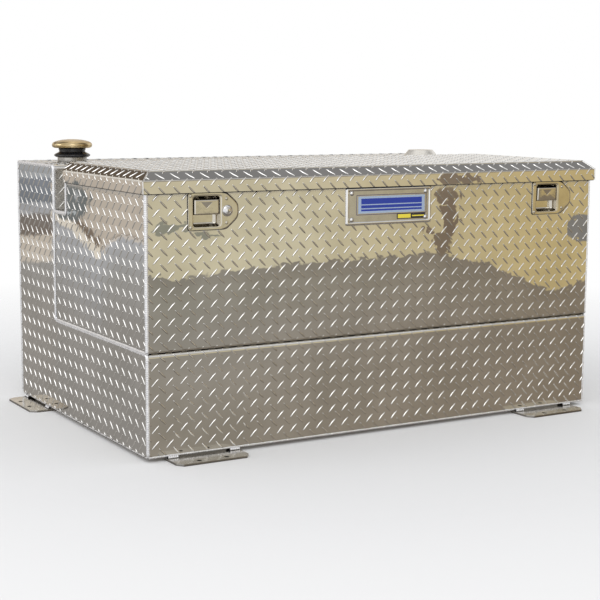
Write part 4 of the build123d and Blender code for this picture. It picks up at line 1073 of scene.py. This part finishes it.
# Filler cap: one turned shape with a lens-like rim, in place of the CAD cap
CAP = [(0, 670.6), (12, 670.3), (24, 669.2), (34, 667.3), (41, 665.3), (45.5, 663.4), (48.2, 661.2),
       (49.7, 658.4), (50.0, 655.6), (49.3, 652.8), (47.4, 650.6), (44.6, 649.4), (42.6, 649.2),
       (42.0, 650.4), (41.6, 651.8), (20.8, 651.8), (20.8, 633.0), (17.8, 633.0), (17.8, 651.8), (0, 651.8)]
turned_cap = lathe(CAP, on_filler, TURNED_COUNT)
piece = shell_piece("filler_cap_turned", *turned_cap, GOLD, "filler_cap", "gold_cap")
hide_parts("filler_cap")

# Filler neck: turned with a waist over a flange that thins to its edge, in place of the CAD neck
NECK_TURNED = [(21.0, 609.8), (21.0, 649.0), (32.6, 649.0), (33.6, 648.0), (33.8, 645.6), (32.4, 643.0),
               (32.2, 640.6), (34.0, 638.4), (38.5, 636.2), (43.2, 633.8), (45.0, 631.4), (44.4, 629.2),
               (40.5, 626.6), (37.0, 626.0), (26.0, 626.0), (26.0, 609.8), (21.0, 609.8)]
turned_neck = lathe(NECK_TURNED, on_filler, TURNED_COUNT)
piece = shell_piece("filler_neck_turned", *turned_neck, NECK, "tank", "black_neck")
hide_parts("filler_neck")

# Lid folds and edges, each a fine roll. The top and front folds catch the light, the side folds carry a
# painted highlight, and the black strip along the skirt's lower edge is painted shade.
LID_END = HINGE_WALL - 14.0
# Inset and height of the black strip of painted shade along the skirt's lower edge
SHADE_STRIP_INSET = 2.2
SHADE_STRIP_Z = LID_EDGE - 0.4


def fold(start, end, outward, sink=0.8):
    """Run of a roll along a fold, sunk a little into the sheet."""
    direction = np.array(outward, float) / np.linalg.norm(outward)
    return [np.array(p, float) - direction * sink for p in (start, end)], direction


def roll(name, runs, radius, slot, material):
    """Smooth roll that rides with the lid."""
    bead(name, runs, radius, "lid", slot=slot, material=material, ripple_high=0.0, step=20.0)


folds = [fold((-LID_SIDE, LID_FRONT, LID_FOLD), (LID_SIDE, LID_FRONT, LID_FOLD), (0, -1, 0.45), 1.4),
         fold((-top_side, top_front, LID_TOP), (top_side, top_front, LID_TOP), (0, -0.35, 1))]
side_folds = []
strip_side = LID_SIDE - SHADE_STRIP_INSET
strip_front = LID_FRONT + SHADE_STRIP_INSET
shade_strips = [([(-strip_side, strip_front, SHADE_STRIP_Z), (strip_side, strip_front, SHADE_STRIP_Z)], (0, -1, -0.8))]
for _, way in SIDES:
    top_corner = (way * top_side, top_front, LID_TOP)
    fold_corner = (way * LID_SIDE, LID_FRONT, LID_FOLD)
    folds += [fold(top_corner, (way * top_side, HINGE_WALL - 1, LID_TOP), (way * 0.35, 0, 1)),
              fold(fold_corner, top_corner, (way, -1, 1.4)),
              fold((way * LID_SIDE, LID_FRONT, LID_EDGE), fold_corner, (way, -1, 0), 0.9)]
    side_folds.append(fold(fold_corner, (way * LID_SIDE, LID_END, LID_FOLD), (way, 0, 0.45), 0.9))
    shade_strips.append(([(way * strip_side, y, SHADE_STRIP_Z) for y in (strip_front, LID_END)], (way, 0, -0.8)))
roll("lid_folds", folds, 1.8, "tread_plate", LUG)
# The side folds carry a cream painted highlight
roll("lid_side_folds", side_folds, 2.0, "tread_plate", FOLD_SHEEN)
# Black roll of painted shade under the skirt's edge
roll("lid_edge_shade_strip", shade_strips, 1.3, "black_rubber", RUBBER)

FLOOR_REACH = 5.0
FLOOR_SIDES = 48
# Distances from the middle, in metres, between which the floor fades out
FLOOR_FADE = (1.0, 2.6)


def make_floor():
    """Plain pale floor that fades out before its far edge."""
    mesh = bpy.data.meshes.new("floor")
    turns = [2 * math.pi * n / FLOOR_SIDES for n in range(FLOOR_SIDES)]
    ring = [(FLOOR_REACH * math.cos(turn), FLOOR_REACH * math.sin(turn), 0.0) for turn in turns]
    mesh.from_pydata(ring, [], [range(FLOOR_SIDES)])
    floor = new_object("floor", mesh)
    material, t = new_tree("floor")
    away = t.add("VectorMath", operation="LENGTH")
    t.link(t.place(), away.inputs[0])
    pale = t.feed(t.add("BsdfDiffuse"), Color=rgb(0.86, 0.855, 0.85))
    clear = t.add("BsdfTransparent")
    t.surface(t.blend(t.spread(away.outputs["Value"], *FLOOR_FADE), pale, clear))
    mesh.materials.append(material)
    floor.visible_glossy = False


make_floor()


def make_world():
    """White room, also in gloss and glass; everything else is lit at a plain level."""
    world = bpy.data.worlds.new("room")
    bpy.context.scene.world = world
    world.use_nodes = True
    t = Tree(world)
    light = t.feed(t.add("Background"), Color=rgb(0.92, 0.93, 0.95), Strength=1.0)
    white = t.feed(t.add("Background"), Color=rgb(1, 1, 1), Strength=1.0)
    path = t.add("LightPath")
    shown = t.math("MAXIMUM", path.outputs["Is Camera Ray"], path.outputs["Is Glossy Ray"])
    shown = t.math("MAXIMUM", shown, path.outputs["Is Transmission Ray"])
    t.surface(t.blend(shown, light, white), "World")


make_world()

# Far screens that gloss reflects. Each list runs from the ground up: elevation in degrees and colour
WHITE = (1.0, 1.0, 1.0)
# Elevations between which the screens have their finest lines
FINE = (-10.0, -3.0)
GROUND = [(-90, (0.15, 0.135, 0.12)), (-36, (0.19, 0.17, 0.15))]
GROUNDS = {"left_open": [(-90, (0.22, 0.21, 0.19)), (-36, (0.36, 0.345, 0.325))]}
CEILING = [(46, (0.27, 0.27, 0.275)), (66, (0.27, 0.27, 0.275)), (78, (0.85, 0.85, 0.86)),
           (90, (0.9, 0.9, 0.9))]
OPEN_CEILING = [(46, (0.45, 0.45, 0.45)), (58, WHITE), (90, (0.9, 0.9, 0.9))]
CEILINGS = {"back": [(66, (1.0, 0.95, 0.86)), (90, (0.96, 0.93, 0.87))],
            "front_left": OPEN_CEILING,
            "left_open": OPEN_CEILING,
            "front": [(46, (0.45, 0.45, 0.45)), (60, WHITE), (90, (0.9, 0.9, 0.9))]}
SIDE_GROUND = [(-25, (0.28, 0.27, 0.26)), (-9.5, (0.35, 0.335, 0.32))]
SIDE_TREES = [(-1, (0.58, 0.515, 0.445)), (14, (0.36, 0.30, 0.24))]
SCREENS = {
    "front": [(-13, (0.335, 0.305, 0.26)), (-9, (0.36, 0.34, 0.305)), (-7.3, (0.345, 0.33, 0.285)),
              (-6.53, (0.32, 0.30, 0.26)), (-6.47, (0.70, 0.645, 0.47)), (9, (0.68, 0.61, 0.43)),
              (13, (0.50, 0.47, 0.42)), (22, (0.60, 0.59, 0.58)), (30, (0.72, 0.72, 0.72)), (37, WHITE)],
    "front_left": [(-24, (0.34, 0.33, 0.31)), (-15, (0.72, 0.72, 0.72)), (-8, WHITE), (35, WHITE)],
    "left_open": [(-24, (0.28, 0.27, 0.25)), (-10, (0.46, 0.44, 0.42)), (0, (0.75, 0.75, 0.75)), (6, WHITE),
                  (31, WHITE)],
    "left_far": [*SIDE_GROUND, (-7.6, (0.40, 0.395, 0.39)), (-6.03, (0.49, 0.50, 0.53)),
                 (-5.99, (0.68, 0.63, 0.58)), (-5.90, (0.68, 0.63, 0.58)), (-5.87, (0.36, 0.31, 0.27)),
                 (-5.78, (0.60, 0.535, 0.465)), *SIDE_TREES],
    "left_near": [*SIDE_GROUND, (-7.6, (0.40, 0.40, 0.41)), (-6.03, (0.49, 0.50, 0.53)),
                  (-5.97, (0.86, 0.80, 0.71)), (-5.55, (0.80, 0.73, 0.63)), (-5.49, (0.24, 0.19, 0.15)),
                  (-5.2, (0.26, 0.21, 0.17)), (-5.1, (0.60, 0.535, 0.465)), *SIDE_TREES],
    "left_tank": [(-25, (0.28, 0.265, 0.25)), (-8.2, (0.36, 0.34, 0.32)), (-6.6, (0.38, 0.37, 0.36)),
                  (-6.52, (0.66, 0.60, 0.53)), (-5.53, (0.62, 0.555, 0.48)), (-5.45, (0.22, 0.185, 0.16)),
                  (-4.7, (0.24, 0.215, 0.20)), (-4.6, (0.45, 0.455, 0.48)), (-4.25, (0.42, 0.43, 0.46)),
                  (-4.15, (0.22, 0.24, 0.27)), (-3.3, (0.27, 0.29, 0.33)), (-3.2, (0.42, 0.44, 0.47)),
                  (0, (0.48, 0.46, 0.44)), (6, (0.85, 0.80, 0.72)), (16, (0.85, 0.80, 0.72)),
                  (20, (0.24, 0.20, 0.16))],
    "back_left": [(-20, (0.40, 0.38, 0.35)), (-4, (0.54, 0.51, 0.48)), (6, (0.80, 0.75, 0.67)),
                  (10, (0.95, 0.90, 0.81)), (17, (0.92, 0.87, 0.78)), (20.5, (0.15, 0.12, 0.09)),
                  (27, (0.13, 0.10, 0.075)), (34, (0.60, 0.58, 0.55))],
    "back": [(-20, (0.40, 0.38, 0.34)), (-3, (0.62, 0.58, 0.52)), (1, (0.67, 0.605, 0.53)),
             (7, (0.67, 0.60, 0.52)), (16, (0.70, 0.64, 0.56)), (34, (0.75, 0.69, 0.60)),
             (46, (1.0, 0.945, 0.85))],
    "right": [(-20, (0.26, 0.24, 0.21)), (-6, (0.50, 0.48, 0.44)), (0, (0.86, 0.86, 0.85)), (6, WHITE),
              (28, WHITE)],
    "front_right": [(-20, (0.22, 0.18, 0.14)), (-5, (0.30, 0.235, 0.16)), (20, (0.20, 0.155, 0.11)),
                    (30, (0.34, 0.32, 0.30))],
}
# Edge of the ground as the front shows it, and of what the side shows: (heading, elevation)
FRONT_EDGE = [(294.2, -7.1), (295.2, -7.45), (295.95, -7.21), (297.5, -6.93), (300.4, -6.68), (302.4, -6.5),
              (304.4, -6.32), (306.0, -6.22), (307.7, -6.5), (308.5, -6.77), (309.9, -7.33), (310.45, -7.52),
              (311.1, -7.42), (312.0, -7.1)]
SIDE_EDGE = [(110.5, -4.9), (111.18, -5.25), (111.63, -5.76), (112.18, -6.33), (112.38, -6.5),
             (112.46, -6.22), (112.75, -5.86), (113.2, -5.63), (113.66, -5.67), (114.1, -5.85)]
# Elevations that the screens' own lists give those two edges
FRONT_LEVEL = -6.5
SIDE_LEVEL = -6.0
# Heading range over which each screen gives way to the next, from the right round by the back
TURNS = [(36, 44, "back"), (76, 84, "back_left"), (103, 106, "left_tank"), (110.5, 110.6, "left_near"),
         (112.38, 112.46, "left_far"), (122, 132, "left_open"), (180, 190, "front_left"),
         (284, 289, "front"), (317, 323, "front_right"), (352, 359, "right")]
# Smaller things in the room: heading and elevation of the middle, reach across and up in degrees, colour
BLOTS = [(306.75, -3.2, 0.95, 0.26, (0.27, 0.215, 0.16)), (306.3, -3.85, 0.56, 0.32, (0.25, 0.195, 0.145)),
         (306.42, -4.7, 0.30, 0.85, (0.24, 0.185, 0.135)), (306.15, -5.85, 0.33, 0.5, (0.26, 0.205, 0.15)),
         (305.6, -5.25, 0.20, 0.17, (0.27, 0.21, 0.155)), (294.85, -5.3, 0.60, 0.22, (0.33, 0.33, 0.27)),
         (295.6, -5.2, 0.40, 0.10, (0.33, 0.33, 0.27)), (296.6, -5.52, 0.65, 0.08, (0.33, 0.33, 0.27)),
         (311.7, -5.05, 0.62, 0.5, (0.26, 0.25, 0.235)), (111.25, -4.15, 0.72, 0.80, (0.20, 0.215, 0.22)),
         (111.25, -4.6, 0.25, 0.10, (0.50, 0.54, 0.57)), (111.55, -3.9, 0.10, 0.30, (0.44, 0.46, 0.48)),
         (110.95, -4.0, 0.08, 0.25, (0.40, 0.43, 0.46))]
# Brown ground and golden light at the front's right: how much of them, and their colours
BROWN = (0.75, (0.26, 0.205, 0.145))
GOLDEN = (0.8, (0.60, 0.46, 0.20))
SCREEN_FAR = 400.0
# Brightness from which a screen is open
OPEN_FROM = (0.96, 0.99)


def make_screens():
    """Far sphere that only gloss sees, open where it would be white, so that the background shows."""
    mesh = bpy.data.meshes.new("screens")
    shape = bmesh.new()
    bmesh.ops.create_uvsphere(shape, u_segments=48, v_segments=24, radius=SCREEN_FAR)
    shape.to_mesh(mesh)
    shape.free()
    screens = new_object("screens", mesh)
    for kind in ("camera", "diffuse", "transmission", "volume_scatter", "shadow"):
        setattr(screens, f"visible_{kind}", False)
    material, t = new_tree("screens")
    colour = screen_colours(t)
    grey = t.add("RGBToBW")
    t.link(colour, grey.inputs[0])
    glow = t.feed(t.add("Emission"), Color=colour, Strength=1.0)
    t.surface(t.blend(t.spread(grey.outputs[0], *OPEN_FROM), glow, t.add("BsdfTransparent")))
    mesh.materials.append(material)


def screen_colours(t):
    """Colour of the screens by heading and elevation, with slightly ragged edges."""

    def plus(a, b):
        return t.math("ADD", a, b)

    def minus(a, b):
        return t.math("SUBTRACT", a, b)

    def times(a, b):
        return t.math("MULTIPLY", a, b)

    spot = t.add("VectorMath", operation="NORMALIZE")
    t.link(t.place(), spot.inputs[0])
    way = spot.outputs["Vector"]
    x, y, z = t.parts(way)
    heading = t.math("MODULO", plus(times(t.math("ARCTAN2", y, x), 180 / math.pi), 360.0), 360.0)
    rise = times(t.math("ARCSINE", z), 180 / math.pi)
    coarse = minus(t.noise(way, 26.0, 3.0, 0.5, (1.0, 1.0, 2.0)), 0.5)
    ragged = minus(t.noise(way, 260.0, 3.0, 0.6), 0.5)
    level = plus(rise, plus(times(coarse, 0.16), times(ragged, 0.22)))
    sway = plus(heading, times(minus(t.noise(way, 150.0, 4.0, 0.65), 0.5), 0.6))

    def above(points, own_level):
        """Elevation by which the screens follow an edge, in straight pieces between its points."""
        low, high = min(e for _, e in points), max(e for _, e in points)
        shares = t.ramp(heading, [(turn, [(e - low) / (high - low)] * 3) for turn, e in points])
        return plus(minus(level, t.spread(shares, 0.0, 1.0, low, high)), own_level)

    above_front = above(FRONT_EDGE, FRONT_LEVEL)
    above_side = above(SIDE_EDGE, SIDE_LEVEL)
    levels = {"front": above_front, "left_near": above_side, "left_far": above_side}

    def band(name):
        """Colours by elevation. A ramp is stored in 256 steps, so what lies near the horizon has its own."""
        value = levels.get(name, level)
        stops = GROUNDS.get(name, GROUND) + SCREENS[name] + CEILINGS.get(name, CEILING)
        low, high = FINE
        near = [stop for stop in stops if low < stop[0] < high]
        if not near:
            return t.ramp(value, stops)
        marks = [degrees for degrees, _ in stops]
        first, last = ((e, [np.interp(e, marks, [colour[k] for _, colour in stops]) for k in range(3)])
                       for e in FINE)
        within = times(t.spread(value, low, low + 0.01), t.spread(value, high, high - 0.01))
        return t.mix(within, t.ramp(value, stops), t.ramp(value, [first, *near, last]))

    def blot(turn, elevation, reach_across, reach_up):
        """Soft-edged patch: 1 in its middle, 0 outside."""
        across = t.math("DIVIDE", minus(sway, turn), reach_across)
        upward = t.math("DIVIDE", minus(level, elevation), reach_up)
        return t.spread(plus(times(across, across), times(upward, upward)), 1.1, 0.85)

    colour = band("right")
    for start, end, name in TURNS:
        colour = t.mix(t.spread(heading, start, end), colour, band(name))
    before_right = t.spread(heading, 320, 318)
    brown = times(times(t.spread(heading, 296, 311), before_right), t.spread(above_front, -6.47, -6.53))
    golden = times(times(t.spread(heading, 300, 310), before_right),
                   times(t.spread(above_front, -6.53, -6.47), t.spread(level, 12.0, 9.0)))
    for covered, (share, shade) in ((brown, BROWN), (golden, GOLDEN)):
        colour = t.mix(covered, colour, t.mix(share, colour, rgb(*shade)))
    for *place, shade in BLOTS:
        colour = t.mix(blot(*place), colour, rgb(*shade))
    return colour


make_screens()


# Point that the lamps look at, and each lamp's name, place, size in metres and power in watts
LIT = (0, 0, 0.3)
LAMPS = (("key", (-1.5, -2.9, 2.6), 1.5, 12.0), ("left_rim", (-3.2, 0.9, 1.6), 1.2, 8.0))


def soft_box(name, location, size, power):
    """Square area light that looks at the object."""
    data = bpy.data.lights.new(name, "AREA")
    data.shape = "SQUARE"
    data.size = size
    data.energy = power
    lamp = new_object(name, data)
    lamp.location = location
    lamp.rotation_mode = "QUATERNION"
    lamp.rotation_quaternion = (Vector(LIT) - Vector(location)).to_track_quat("-Z", "Y")


for lamp in LAMPS:
    soft_box(*lamp)

# Camera fitted to the photograph: place in metres, turns in degrees, lens and sensor in millimetres
CAMERA_PLACE = (-1.8245, -3.0773, 0.78255)
YAW, PITCH, ROLL = 30.384, 8.215, 0.324
LENS = 85.05
SENSOR = 36.0
yaw, pitch, roll_turn = (math.radians(a) for a in (YAW, PITCH, ROLL))
forward = Vector((math.sin(yaw) * math.cos(pitch), math.cos(yaw) * math.cos(pitch), -math.sin(pitch)))
right = Vector((math.cos(yaw), -math.sin(yaw), 0.0))
up = right.cross(forward)
cam_right = right * math.cos(roll_turn) + up * math.sin(roll_turn)
cam_up = up * math.cos(roll_turn) - right * math.sin(roll_turn)
camera_data = bpy.data.cameras.new("camera")
camera_data.sensor_width = SENSOR
camera_data.lens = LENS
camera = new_object("camera", camera_data)
turned = Matrix((cam_right, cam_up, -forward)).transposed().to_4x4()
camera.matrix_world = Matrix.Translation(CAMERA_PLACE) @ turned
bpy.context.scene.camera = camera
bpy.context.scene.view_settings.view_transform = "Standard"
